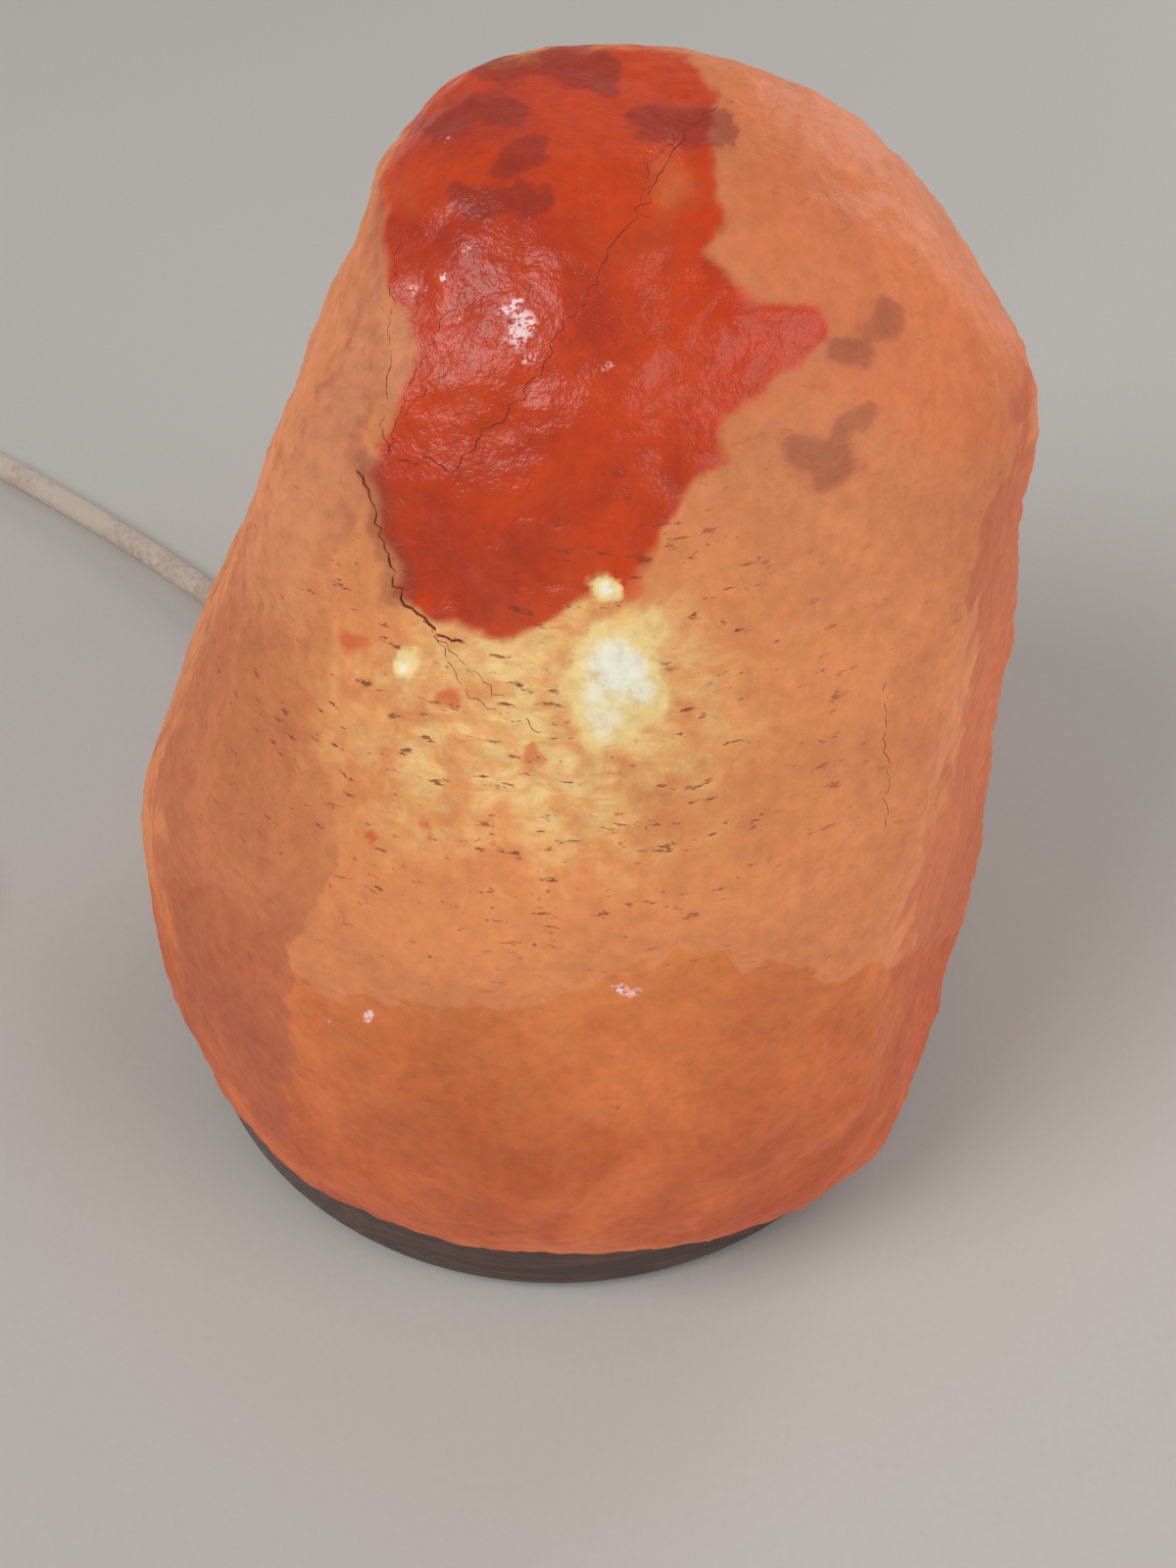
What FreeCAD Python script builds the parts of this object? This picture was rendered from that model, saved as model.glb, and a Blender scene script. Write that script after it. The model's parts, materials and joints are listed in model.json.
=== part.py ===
"""Salt crystal lamp: a hollowed block of rock salt on a turned wooden base.

A small screw bulb stands in the hollow, in a lampholder that a sprung clip
holds against the salt. Its cord leaves through a groove under the base and
runs through a rocker switch and a round coil to a flat two pin plug.

Millimetres, +Z up. The origin is on the table, on the axis of the base.
"""
import math
import os

import FreeCAD
import Part
from FreeCAD import Vector

# ------------------------------------------------------------------ sizes
# Base and feet
FOOT_RADIUS = 8.0
FOOT_HEIGHT = 3.0
FOOT_INSET = 12.0           # of the feet's centres from the edge of the base
FOOT_COUNT = 4
BASE_RADIUS = 70.0
BASE_THICKNESS = 16.0
BASE_TOP_ROUND = 4.0
BASE_BOTTOM_ROUND = 2.0
BASE_HOLE_RADIUS = 27.0
GROOVE_CLEARANCE = 0.8      # each side of the cord, and above it
CORD_END_GAP = 0.5          # between the lengths of cord in and outside the base

# Screws that hold the salt to the base
SCREW_INSET = 26.0          # of the base screws from the edge of the base
SCREW_COUNT = 3
SCREW_FIRST_ANGLE = 35.0
SCREW_RADIUS = 1.9
SCREW_HEAD_RADIUS = 3.8
SCREW_HEAD_HEIGHT = 2.6
SCREW_LENGTH = 28.0         # under the head
SCREW_SINK = 2.5            # depth of the head below the underside
PLUG_SLEEVE_RADIUS = 3.0
PLUG_SLEEVE_LENGTH = 20.0
HOLE_CLEARANCE = 0.4
FIT_GAP = 0.05              # pressed or glued pieces
SLIDE_GAP = 0.3             # pieces that move past each other

# Salt crystal
CRYSTAL_WIDTH = 156.0
CRYSTAL_DEPTH = 157.0
CRYSTAL_HEIGHT = 171.0
BORE_RADIUS = 26.0
BORE_DEPTH = 103.0          # straight part
BORE_TIP = 12.0             # cone left by the drill above it

# Cord
CORD_DIAMETER = 6.0
CORE_RADIUS = 1.0           # one insulated conductor inside it
CORD_EXIT_ANGLE = 125.0     # where the groove leaves the base
CORD_BEND = 18.0            # radius of the bend up into the lampholder

# Lampholder and its clip
NIPPLE_RADIUS = 5.0
NIPPLE_BORE_RADIUS = 3.4
NIPPLE_LENGTH = 14.0
NIPPLE_BOTTOM = 25.5        # height of its lower end
NUT_ACROSS_FLATS = 14.0
NUT_HEIGHT = 3.0
NUT_RISE = 2.5              # from the nipple's lower end to the nut
CLIP_WIDTH = 14.0
CLIP_THICKNESS = 0.8
CLIP_FOOT_REACH = 15.0      # where the flat strip starts to bend up
CLIP_ARM_RISE = 24.0        # from the strip to where the arm meets the salt
CLIP_TIP_RISE = 12.0        # and from there to its folded tip
CLIP_TIP_INSET = 4.5
HOLDER_RADIUS = 14.0
HOLDER_WALL = 1.6
CAP_HEIGHT = 12.0
CAP_HUB_RADIUS = 8.5
CAP_FLOOR = 3.0
BODY_HEIGHT = 34.0
BODY_RIB_COUNT = 12
BODY_RIB_RADIUS = 0.8
INSERT_HEIGHT = 7.0
SHELL_BORE_RADIUS = 7.1     # brass screw shell
SHELL_WALL = 0.4
SHELL_HEIGHT = 20.0
TONGUE_WIDTH = 5.0
TONGUE_THICKNESS = 0.5
TERMINAL_SIZE = 4.0
TERMINAL_SPREAD = 6.5       # from the axis to each terminal
TERMINAL_SCREW_RADIUS = 1.2
GRIP_RADIUS = 7.5
GRIP_HEIGHT = 5.0
GRIP_SCREW_RADIUS = 1.5

# Bulb
BULB_CAP_RADIUS = 6.75
BULB_CAP_HEIGHT = 21.0
BULB_CAP_WALL = 0.3
BULB_SKIRT_RADIUS = 8.0
BULB_TIP_RADIUS = 2.4
BULB_TIP_HEIGHT = 1.6
BULB_INSULATOR_HEIGHT = 2.4
BULB_GLASS_RADIUS = 13.0
BULB_GLASS_WALL = 0.6
BULB_GLASS_NECK = 6.3       # outer radius where the glass enters the cap
BULB_GLASS_HEIGHT = 33.0    # above the cap
BULB_STEM_RADIUS = 3.0
BULB_STEM_HEIGHT = 16.0
FILAMENT_SPAN = 12.0
FILAMENT_RADIUS = 0.5
LEAD_WIRE_RADIUS = 0.35

# Switch in the cord
SWITCH_LENGTH = 62.0
SWITCH_WIDTH = 25.0
SWITCH_HEIGHT = 18.0
SWITCH_CORD_HEIGHT = 8.0    # the cord's middle, and the joint of the two shells
SWITCH_WALL = 1.8
SWITCH_END_RADIUS = 9.0
SWITCH_EDGE_ROUND = 2.5
ROCKER_LENGTH = 20.0
ROCKER_WIDTH = 12.0
ROCKER_END_HEIGHT = 4.6     # its ends above the pin
ROCKER_DIP_HEIGHT = 3.2     # its middle above the pin
ROCKER_DEPTH = 2.4          # its underside below the pin
ROCKER_TILT = 12.0          # from level to either side, in degrees
ROCKER_PIN_RADIUS = 1.25
ROCKER_PIN_DEPTH = 4.0      # below the top of the cover
BRIDGE_THICKNESS = 0.8
CONTACT_LENGTH = 12.0
CONTACT_WIDTH = 5.0
SWITCH_SCREW_RADIUS = 1.4
SWITCH_SCREW_SPREAD = 21.0  # each side of the middle
SWITCH_BOSS_RADIUS = 3.0
SWITCH_BOSS_SINK = 0.6      # how far a boss stands into the side wall
SWITCH_CHEEK_LENGTH = 8.0
SWITCH_CHEEK_DROP = 3.0     # below the pin
JOIN_DEPTH = 0.1            # how far a boss or cheek runs into the roof
BRIDGE_INSET = 4.0          # from each end of the rocker
CLAMP_LENGTH = 6.0

# Coil of put-away cord
COIL_INNER_RADIUS = 24.0
COIL_LOWER_TURNS = 3.0      # on the table, spiralling in
COIL_UPPER_TURNS = 2.5      # on top, spiralling out
COIL_PITCH = 6.6
COIL_CLIMB_TUCK = 1.8       # how far the climbing half turn is drawn in

# Plug
PLUG_FACE_WIDTH = 35.3
PLUG_FLAT_WIDTH = 26.1
PLUG_THICKNESS = 13.7
PLUG_BACK_SHARE = 0.42      # width of its back end as a share of its face
PLUG_BACK_THICKNESS = 10.6
PLUG_LENGTH = 36.0
PLUG_FACE_LENGTH = 14.0     # straight part behind the face
PIN_RADIUS = 2.0
PIN_LENGTH = 19.0
PIN_SPACING = 18.6
PIN_SLEEVE_LENGTH = 10.0
PIN_SLEEVE_THICKNESS = 0.45
RELIEF_LENGTH = 24.0
RELIEF_RADIUS = 5.0
RELIEF_END_RADIUS = 3.7
RELIEF_GROOVE_DEPTH = 0.6
RELIEF_RIB_COUNT = 4

# ------------------------------------------------------------ the outlines
# The salt block, level by level: the share of its height, then the reach of its
# outline as shares of half its width and depth, at eight compass points from
# +X turning towards +Y. All in percent.
CRYSTAL_LEVELS = (
    (0.0, (87, 90, 90, 92, 89, 93, 92, 98)),
    (6.5, (95, 97, 97, 99, 95, 96, 99, 102)),
    (18.0, (99, 101, 100, 102, 96, 96, 101, 103)),
    (33.0, (98, 100, 97, 94, 89, 94, 96, 100)),
    (47.5, (98, 97, 91, 80, 76, 86, 88, 95)),
    (62.0, (94, 89, 80, 68, 62, 72, 77, 85)),
    (76.5, (89, 78, 67, 53, 47, 61, 63, 72)),
    (88.5, (73, 65, 53, 39, 35, 44, 48, 57)),
    (96.5, (53, 45, 35, 27, 24, 28, 30, 38)),
    (100.0, (33, 28, 20, 15, 13, 15, 16, 23)),
)
# Broad split faces: the compass angle and the upward tilt of each face, and a
# point on it as shares of half the width, half the depth and the height.
CRYSTAL_FACES = (
    (174.0, 23.0, (-0.44, 0.0, 0.78)),      # matt left face
    (335.0, 4.0, (0.74, -0.64, 0.18)),      # narrow right face
    (0.0, 38.6, (0.53, 0.0, 0.98)),         # slope at the upper right
    (118.0, 24.0, (-0.20, 0.62, 0.68)),     # two faces at the back
    (62.0, 12.0, (0.46, 0.80, 0.35)),
)
# The step where a slab has broken away from the front, as two points on the
# surface in the same shares, its depth and how far the break runs out.
LEDGE_START = (-0.27, -0.52, 0.855)
LEDGE_END = (0.03, -0.74, 0.68)
LEDGE_DEPTH = 4.0
LEDGE_END_DEPTH = 1.0
LEDGE_REACH = 34.0
LEDGE_OUTWARD = (-0.30, -0.80, 0.52)

# The cord on the table, from the base to the switch: chosen points.
CORD_ON_TABLE = (
    (-51.0, 72.0, 6.0),
    (-66.0, 91.5, 3.9),
    (-84.5, 111.0, 3.1),
    (-109.0, 132.5, 3.1),
    (-135.0, 152.5, 3.1),
    (-151.5, 164.5, 3.1),
    (-169.5, 171.5, 3.1),
    (-188.5, 169.5, 3.1),
    (-203.5, 158.0, 3.6),
    (-210.0, 141.0, 5.4),
)
SWITCH_CENTRE = (-210.0, 91.0)
SWITCH_HEADING = 270.0
CORD_TO_COIL = (
    (-210.4, 47.0, 6.6),
    (-209.6, 33.0, 4.0),
    (-208.8, 21.0, 3.1),
)
COIL_CENTRE = (-165.0, 6.0)
CORD_TO_PLUG = (
    (-205.9, -13.0, 9.5),
    (-203.5, -28.5, 8.4),
    (-197.5, -43.5, 7.2),
)
PLUG_POINT = (-191.0, -57.0)    # where the cord enters the plug's relief
PLUG_HEADING = 296.0

# ------------------------------------------------------- worked out heights
BASE_BOTTOM = FOOT_HEIGHT
BASE_TOP = BASE_BOTTOM + BASE_THICKNESS
CORD_RADIUS = CORD_DIAMETER / 2
FOOT_RING = BASE_RADIUS - FOOT_INSET
SCREW_RING = BASE_RADIUS - SCREW_INSET
GROOVE_HALF_WIDTH = CORD_RADIUS + GROOVE_CLEARANCE
CORD_LEVEL = BASE_BOTTOM + CORD_RADIUS + 1.0      # cord's middle in the groove
GROOVE_TOP = CORD_LEVEL + CORD_RADIUS + GROOVE_CLEARANCE
NUT_BOTTOM = NIPPLE_BOTTOM + NUT_RISE
CLIP_BOTTOM = NUT_BOTTOM + NUT_HEIGHT
CAP_BOTTOM = CLIP_BOTTOM + CLIP_THICKNESS
INSERT_BOTTOM = CAP_BOTTOM + CAP_HEIGHT
SHELL_BOTTOM = INSERT_BOTTOM + INSERT_HEIGHT
HOLDER_TOP = INSERT_BOTTOM + BODY_HEIGHT
BULB_BOTTOM = SHELL_BOTTOM + 2.0                  # lowest point of its contact
BULB_CAP_BOTTOM = BULB_BOTTOM + BULB_TIP_HEIGHT + BULB_INSULATOR_HEIGHT
BULB_CAP_TOP = BULB_CAP_BOTTOM + BULB_CAP_HEIGHT
CORD_END_LEVEL = CAP_BOTTOM + CAP_FLOOR + GRIP_HEIGHT

UP = Vector(0, 0, 1)
ORIGIN = Vector(0, 0, 0)


# ------------------------------------------------------------------ helpers
def polar(radius, degrees, height=0.0):
    """Point at a compass angle from +X about the lamp's axis."""
    angle = math.radians(degrees)
    return Vector(radius * math.cos(angle), radius * math.sin(angle), height)


def rod(radius, low, high, centre=ORIGIN):
    """Upright cylinder between two heights."""
    return Part.makeCylinder(radius, high - low, Vector(centre.x, centre.y, low), UP)


def tube(outer, inner, low, high, centre=ORIGIN):
    """Upright tube between two heights."""
    return rod(outer, low, high, centre).cut(rod(inner, low - 1, high + 1, centre))


def block(centre, length, width, low, high):
    """Box centred on a point in plan, between two heights."""
    corner = Vector(centre.x - length / 2, centre.y - width / 2, low)
    return Part.makeBox(length, width, high - low, corner)


def turned(profile):
    """Solid turned about the lamp's axis from (radius, height) points."""
    points = [Vector(radius, 0, height) for radius, height in profile]
    face = Part.Face(Part.makePolygon(points + points[:1]))
    return face.revolve(ORIGIN, UP, 360)


def spin(shape, degrees, centre=ORIGIN):
    """Copy of a shape turned about an upright axis."""
    copy = shape.copy()
    copy.rotate(centre, UP, degrees)
    return copy


def ring_of(shape, count, first=0.0):
    """Copies of a shape, evenly spaced about the lamp's axis."""
    return [spin(shape, first + 360.0 * step / count) for step in range(count)]


def edges_at(shape, height):
    """The edges of a shape that lie flat at a height."""
    return [edge for edge in shape.Edges
            if abs(edge.BoundBox.ZMin - height) < 1e-4
            and abs(edge.BoundBox.ZMax - height) < 1e-4]


def save(name, shape):
    """Write one sub-part as parts/NAME.step and report its size."""
    solids = shape.Solids
    if not solids or not all(solid.isValid() for solid in solids):
        print("CHECK", name, "solids", len(solids), "valid", shape.isValid())
    whole = solids[0] if len(solids) == 1 else Part.makeCompound(solids)
    whole.exportStep("parts/%s.step" % name)
    print("%-18s solids %d  volume %.1f mm3" % (name, len(solids), whole.Volume))


# ------------------------------------------------------------- salt crystal
def crystal_point(across, along, rise):
    """Point from shares of half the width, half the depth and the height."""
    return Vector(across * CRYSTAL_WIDTH / 2, along * CRYSTAL_DEPTH / 2,
                  BASE_TOP + rise * CRYSTAL_HEIGHT)


def crystal_outline(rise, reaches):
    """Smooth closed outline of the salt at one level."""
    points = []
    for step, reach in enumerate(reaches):
        angle = math.radians(step * 360.0 / len(reaches))
        points.append(crystal_point(reach * math.cos(angle) / 100,
                                    reach * math.sin(angle) / 100, rise / 100))
    curve = Part.BSplineCurve()
    curve.interpolate(Points=points, PeriodicFlag=True)
    return Part.Wire(curve.toShape())


def split_face(compass, tilt, share):
    """Large block whose near side is one split face of the salt."""
    outward = polar(math.cos(math.radians(tilt)), compass, math.sin(math.radians(tilt)))
    size = 2 * max(CRYSTAL_WIDTH, CRYSTAL_DEPTH, CRYSTAL_HEIGHT)
    cutter = Part.makeBox(size, size, size, Vector(-size / 2, -size / 2, 0))
    cutter.Placement = FreeCAD.Placement(crystal_point(*share),
                                         FreeCAD.Rotation(UP, outward))
    return cutter


def ledge_profile(share, depth, run, outward, across):
    """Wedge section of the broken slab: a steep step, then a long run out."""
    foot = crystal_point(*share)
    proud = outward * LEDGE_REACH / 2
    corners = [foot + proud, foot - outward * depth,
               foot + across * run, foot + across * run + proud]
    return Part.makePolygon(corners + corners[:1])


def broken_slab():
    """The slab that has split off the front below the glossy layer."""
    line = crystal_point(*LEDGE_END) - crystal_point(*LEDGE_START)
    outward = Vector(*LEDGE_OUTWARD).normalize()
    across = outward.cross(line).normalize() * -1
    if across.z > 0:
        across = across * -1
    start = ledge_profile(LEDGE_START, LEDGE_DEPTH, LEDGE_REACH, outward, across)
    end = ledge_profile(LEDGE_END, LEDGE_END_DEPTH, LEDGE_REACH / 2, outward, across)
    return Part.makeLoft([start, end], True, True)


def crystal_bore():
    """Hollow drilled up into the salt, with the drill's cone at its end."""
    top = BASE_TOP + BORE_DEPTH
    return turned([(0, BASE_TOP - 1), (BORE_RADIUS, BASE_TOP - 1), (BORE_RADIUS, top),
                   (0, top + BORE_TIP)])


def salt_crystal():
    """Rough block of salt: smooth body, split faces, step, bore and plug holes."""
    outlines = [crystal_outline(rise, reaches) for rise, reaches in CRYSTAL_LEVELS]
    salt = Part.makeLoft(outlines, True, False)
    for compass, tilt, share in CRYSTAL_FACES:
        salt = salt.cut(split_face(compass, tilt, share))
    salt = salt.cut(broken_slab())
    salt = salt.cut(crystal_bore())
    sleeve_hole = rod(PLUG_SLEEVE_RADIUS + FIT_GAP, BASE_TOP - 1,
                      BASE_TOP + PLUG_SLEEVE_LENGTH + 1, polar(SCREW_RING, 0))
    for hole in ring_of(sleeve_hole, SCREW_COUNT, SCREW_FIRST_ANGLE):
        salt = salt.cut(hole)
    return salt


# --------------------------------------------------- base, feet and screws
HEAD_BOTTOM = BASE_BOTTOM + SCREW_SINK
HEAD_TOP = HEAD_BOTTOM + SCREW_HEAD_HEIGHT
SCREW_TIP = HEAD_TOP + SCREW_LENGTH


def cord_groove():
    """Channel under the base from its hole out to its edge."""
    reach = BASE_RADIUS + 5
    width = 2 * GROOVE_HALF_WIDTH
    low = BASE_BOTTOM - 1
    arch = Part.makeCylinder(GROOVE_HALF_WIDTH, reach, Vector(0, 0, GROOVE_TOP - GROOVE_HALF_WIDTH),
                             Vector(1, 0, 0))
    channel = Part.makeBox(reach, width, GROOVE_TOP - GROOVE_HALF_WIDTH - low,
                           Vector(0, -width / 2, low))
    return spin(arch.fuse(channel), CORD_EXIT_ANGLE)


def wooden_base():
    """Turned disc with rounded edges, a centre hole, screw holes and a groove."""
    base = rod(BASE_RADIUS, BASE_BOTTOM, BASE_TOP)
    base = base.makeFillet(BASE_TOP_ROUND, edges_at(base, BASE_TOP))
    base = base.makeFillet(BASE_BOTTOM_ROUND, edges_at(base, BASE_BOTTOM))
    base = base.cut(rod(BASE_HOLE_RADIUS, BASE_BOTTOM - 1, BASE_TOP + 1))
    spot = polar(SCREW_RING, 0)
    hole = rod(SCREW_RADIUS + HOLE_CLEARANCE, BASE_BOTTOM - 1, BASE_TOP + 1, spot)
    sink = rod(SCREW_HEAD_RADIUS + HOLE_CLEARANCE, BASE_BOTTOM - 1, HEAD_TOP, spot)
    for cutter in ring_of(hole.fuse(sink), SCREW_COUNT, SCREW_FIRST_ANGLE):
        base = base.cut(cutter)
    return base.cut(cord_groove())


def foot(index):
    """Rubber pad under the base."""
    centre = polar(FOOT_RING, 45 + index * 360.0 / FOOT_COUNT)
    pad = rod(FOOT_RADIUS, 0, FOOT_HEIGHT, centre)
    return pad.makeChamfer(FOOT_HEIGHT / 5, edges_at(pad, 0))


def base_screws():
    """Pan head screws driven up through the base into the salt."""
    spot = polar(SCREW_RING, 0)
    head = rod(SCREW_HEAD_RADIUS, HEAD_BOTTOM, HEAD_TOP, spot)
    head = head.makeFillet(SCREW_HEAD_HEIGHT / 2, edges_at(head, HEAD_BOTTOM))
    slot = block(spot, 2 * SCREW_HEAD_RADIUS, SCREW_HEAD_HEIGHT / 3,
                 HEAD_BOTTOM - 1, HEAD_BOTTOM + SCREW_HEAD_HEIGHT / 3)
    shank = rod(SCREW_RADIUS, HEAD_TOP - FIT_GAP, SCREW_TIP, spot)
    screw = head.fuse(shank).cut(slot)
    return Part.makeCompound(ring_of(screw, SCREW_COUNT, SCREW_FIRST_ANGLE))


def screw_sleeves():
    """Nylon sleeves set in the salt, which the screws bite into."""
    spot = polar(SCREW_RING, 0)
    sleeve = tube(PLUG_SLEEVE_RADIUS, SCREW_RADIUS + FIT_GAP, BASE_TOP,
                  BASE_TOP + PLUG_SLEEVE_LENGTH, spot)
    return Part.makeCompound(ring_of(sleeve, SCREW_COUNT, SCREW_FIRST_ANGLE))


# ------------------------------------------------------ lampholder and clip
def clip_side():
    """Line of one clip arm in plan reach and height, from the foot outwards."""
    corner = BORE_RADIUS - SLIDE_GAP
    reach = math.sqrt(corner ** 2 - (CLIP_WIDTH / 2) ** 2) - CLIP_THICKNESS
    low = CLIP_BOTTOM
    return [(CLIP_FOOT_REACH, low), (reach, low + CLIP_ARM_RISE),
            (reach - CLIP_TIP_INSET, low + CLIP_ARM_RISE + CLIP_TIP_RISE)]


def spring_clip():
    """Sprung steel strip: flat foot with a hole, and two arms to the salt."""
    (foot_y, low), (wide_y, wide_z), (tip_y, tip_z) = clip_side()
    thick = CLIP_THICKNESS
    outer = [(0, low), (foot_y + thick, low), (wide_y + thick, wide_z),
             (tip_y + thick, tip_z)]
    inner = [(tip_y, tip_z), (wide_y, wide_z), (foot_y, low + thick), (0, low + thick)]
    points = [Vector(-CLIP_WIDTH / 2, y, z) for y, z in outer + inner]
    arm = Part.Face(Part.makePolygon(points + points[:1])).extrude(Vector(CLIP_WIDTH, 0, 0))
    strip = arm.fuse(spin(arm, 180)).removeSplitter()
    bends = [edge for edge in strip.Edges
             if abs(edge.BoundBox.ZMax - wide_z) < 1e-4 and edge.BoundBox.ZLength < 1e-4
             and edge.BoundBox.XLength > CLIP_WIDTH - 1 and abs(edge.CenterOfMass.y) > wide_y + 0.5]
    strip = strip.makeFillet(2 * thick, bends)
    return strip.cut(rod(NIPPLE_RADIUS + HOLE_CLEARANCE / 2, low - 1, low + thick + 1))


def nipple():
    """Threaded tube that carries the holder on the clip."""
    pipe = tube(NIPPLE_RADIUS, NIPPLE_BORE_RADIUS, NIPPLE_BOTTOM, NIPPLE_BOTTOM + NIPPLE_LENGTH)
    return pipe.cut(grip_screw_hole())


def nipple_nut():
    """Hexagon nut under the clip."""
    corner = NUT_ACROSS_FLATS / math.sqrt(3)
    points = [polar(corner, 60 * step, NUT_BOTTOM) for step in range(6)]
    prism = Part.Face(Part.makePolygon(points + points[:1])).extrude(UP * NUT_HEIGHT)
    return prism.cut(rod(NIPPLE_RADIUS + FIT_GAP, NUT_BOTTOM - 1, CLIP_BOTTOM + 1))


def holder_cap():
    """Domed lower half of the lampholder, screwed on to the nipple."""
    low, high, wall = CAP_BOTTOM, INSERT_BOTTOM, HOLDER_WALL
    outside = [(NIPPLE_RADIUS + FIT_GAP, low), (CAP_HUB_RADIUS, low),
               (HOLDER_RADIUS, low + CAP_HEIGHT / 2), (HOLDER_RADIUS, high)]
    inside = [(HOLDER_RADIUS - wall, high), (HOLDER_RADIUS - wall, low + CAP_HEIGHT / 2 + wall),
              (CAP_HUB_RADIUS, low + CAP_FLOOR), (NIPPLE_RADIUS + FIT_GAP, low + CAP_FLOOR)]
    return turned(outside + inside)


def holder_body():
    """Ribbed upper half of the lampholder, a sleeve round the screw shell."""
    sleeve = tube(HOLDER_RADIUS, HOLDER_RADIUS - HOLDER_WALL, INSERT_BOTTOM, HOLDER_TOP)
    rib = rod(BODY_RIB_RADIUS, INSERT_BOTTOM + 2, HOLDER_TOP - 4,
              Vector(HOLDER_RADIUS - BODY_RIB_RADIUS / 3, 0, 0))
    for copy in ring_of(rib, BODY_RIB_COUNT):
        sleeve = sleeve.fuse(copy)
    lip_inner = SHELL_BORE_RADIUS + SHELL_WALL + 1.0
    lip = tube(HOLDER_RADIUS - HOLDER_WALL / 2, lip_inner, HOLDER_TOP - HOLDER_WALL, HOLDER_TOP)
    return sleeve.fuse(lip).removeSplitter()


def terminal_spots():
    """Centres of the two terminals, across the clip's arms."""
    return [Vector(side * TERMINAL_SPREAD, 0, 0) for side in (-1, 1)]


def holder_insert():
    """Ceramic block that carries the contacts, with pockets for the terminals."""
    insert = rod(HOLDER_RADIUS - HOLDER_WALL - FIT_GAP, INSERT_BOTTOM, SHELL_BOTTOM)
    for side in (-1, 1):
        insert = insert.cut(terminal_screw(side, TERMINAL_SCREW_RADIUS + FIT_GAP))
    pocket = TERMINAL_SIZE + 2 * FIT_GAP
    for spot in terminal_spots():
        insert = insert.cut(block(spot, pocket, pocket, INSERT_BOTTOM - 1,
                                  INSERT_BOTTOM + TERMINAL_SIZE + FIT_GAP))
    return insert


def terminal_blocks():
    """Brass terminals let into the underside of the insert."""
    blocks = []
    for spot in terminal_spots():
        body = block(spot, TERMINAL_SIZE, TERMINAL_SIZE, INSERT_BOTTOM,
                     INSERT_BOTTOM + TERMINAL_SIZE)
        blocks.append(body.cut(rod(CORE_RADIUS + FIT_GAP, INSERT_BOTTOM - 1,
                                   INSERT_BOTTOM + TERMINAL_SIZE / 2, spot)))
    return Part.makeCompound(blocks)


def terminal_screw(side, radius):
    """Screw that reaches a terminal from the side of the insert."""
    inner = TERMINAL_SPREAD + TERMINAL_SIZE / 2 + FIT_GAP
    outer = HOLDER_RADIUS - HOLDER_WALL - FIT_GAP
    start = Vector(side * inner, 0, INSERT_BOTTOM + TERMINAL_SIZE / 2)
    return Part.makeCylinder(radius, outer - inner, start, Vector(side, 0, 0))


def terminal_screws():
    """Both terminal screws."""
    return Part.makeCompound([terminal_screw(side, TERMINAL_SCREW_RADIUS) for side in (-1, 1)])


def screw_shell():
    """Brass shell that the bulb's cap screws into, open at the top."""
    outer = SHELL_BORE_RADIUS + SHELL_WALL
    return tube(outer, SHELL_BORE_RADIUS, SHELL_BOTTOM, SHELL_BOTTOM + SHELL_HEIGHT)


def centre_contact():
    """Bent brass tongue under the tip of the bulb."""
    thick = TONGUE_THICKNESS
    base = SHELL_BOTTOM
    top = BULB_BOTTOM - FIT_GAP
    half = SHELL_BORE_RADIUS * 0.6
    line = [(-half, base), (half, base), (half, base + thick), (half / 2, base + thick),
            (half / 4, top), (-half / 2, top), (-half / 2, top - thick),
            (0, top - thick), (half / 8, base + thick), (-half, base + thick)]
    points = [Vector(x, -TONGUE_WIDTH / 2, z) for x, z in line]
    return Part.Face(Part.makePolygon(points + points[:1])).extrude(Vector(0, TONGUE_WIDTH, 0))


def cord_grip():
    """Nylon collar round the cord's end inside the cap."""
    low = CAP_BOTTOM + CAP_FLOOR
    collar = tube(GRIP_RADIUS, CORD_RADIUS + FIT_GAP, low, low + GRIP_HEIGHT)
    collar = collar.cut(tube(NIPPLE_RADIUS + FIT_GAP, CORD_RADIUS, low - 1,
                             NIPPLE_BOTTOM + NIPPLE_LENGTH + FIT_GAP))
    return collar.cut(grip_screw_hole())


def grip_screw_line(radius, start, length):
    """Cylinder along +Y at the grip's screw."""
    height = CAP_BOTTOM + CAP_FLOOR + GRIP_HEIGHT - GRIP_SCREW_RADIUS - 0.8
    return Part.makeCylinder(radius, length, Vector(0, start, height), Vector(0, 1, 0))


def grip_screw_hole():
    """Hole for the screw that presses on the cord."""
    return grip_screw_line(GRIP_SCREW_RADIUS + FIT_GAP, 0, GRIP_RADIUS + 2)


def grip_screw():
    """Headless screw that presses on the cord."""
    start = CORD_RADIUS + FIT_GAP
    return grip_screw_line(GRIP_SCREW_RADIUS, start, GRIP_RADIUS - start)


def core(side):
    """One insulated conductor from the cord's end to its terminal."""
    start = Vector(side * (CORE_RADIUS + FIT_GAP), 0, CORD_END_LEVEL)
    end = Vector(side * TERMINAL_SPREAD, 0, INSERT_BOTTOM + TERMINAL_SIZE / 2 - FIT_GAP)
    room = INSERT_BOTTOM - start.z
    low = Vector(start.x, 0, start.z + 0.35 * room)
    high = Vector(end.x, 0, INSERT_BOTTOM - 0.22 * room)
    path = Part.makePolygon([start, low, high, end])
    ring = Part.Wire(Part.makeCircle(CORE_RADIUS, start, UP))
    return path.makePipeShell([ring], True, False, 2)


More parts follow.
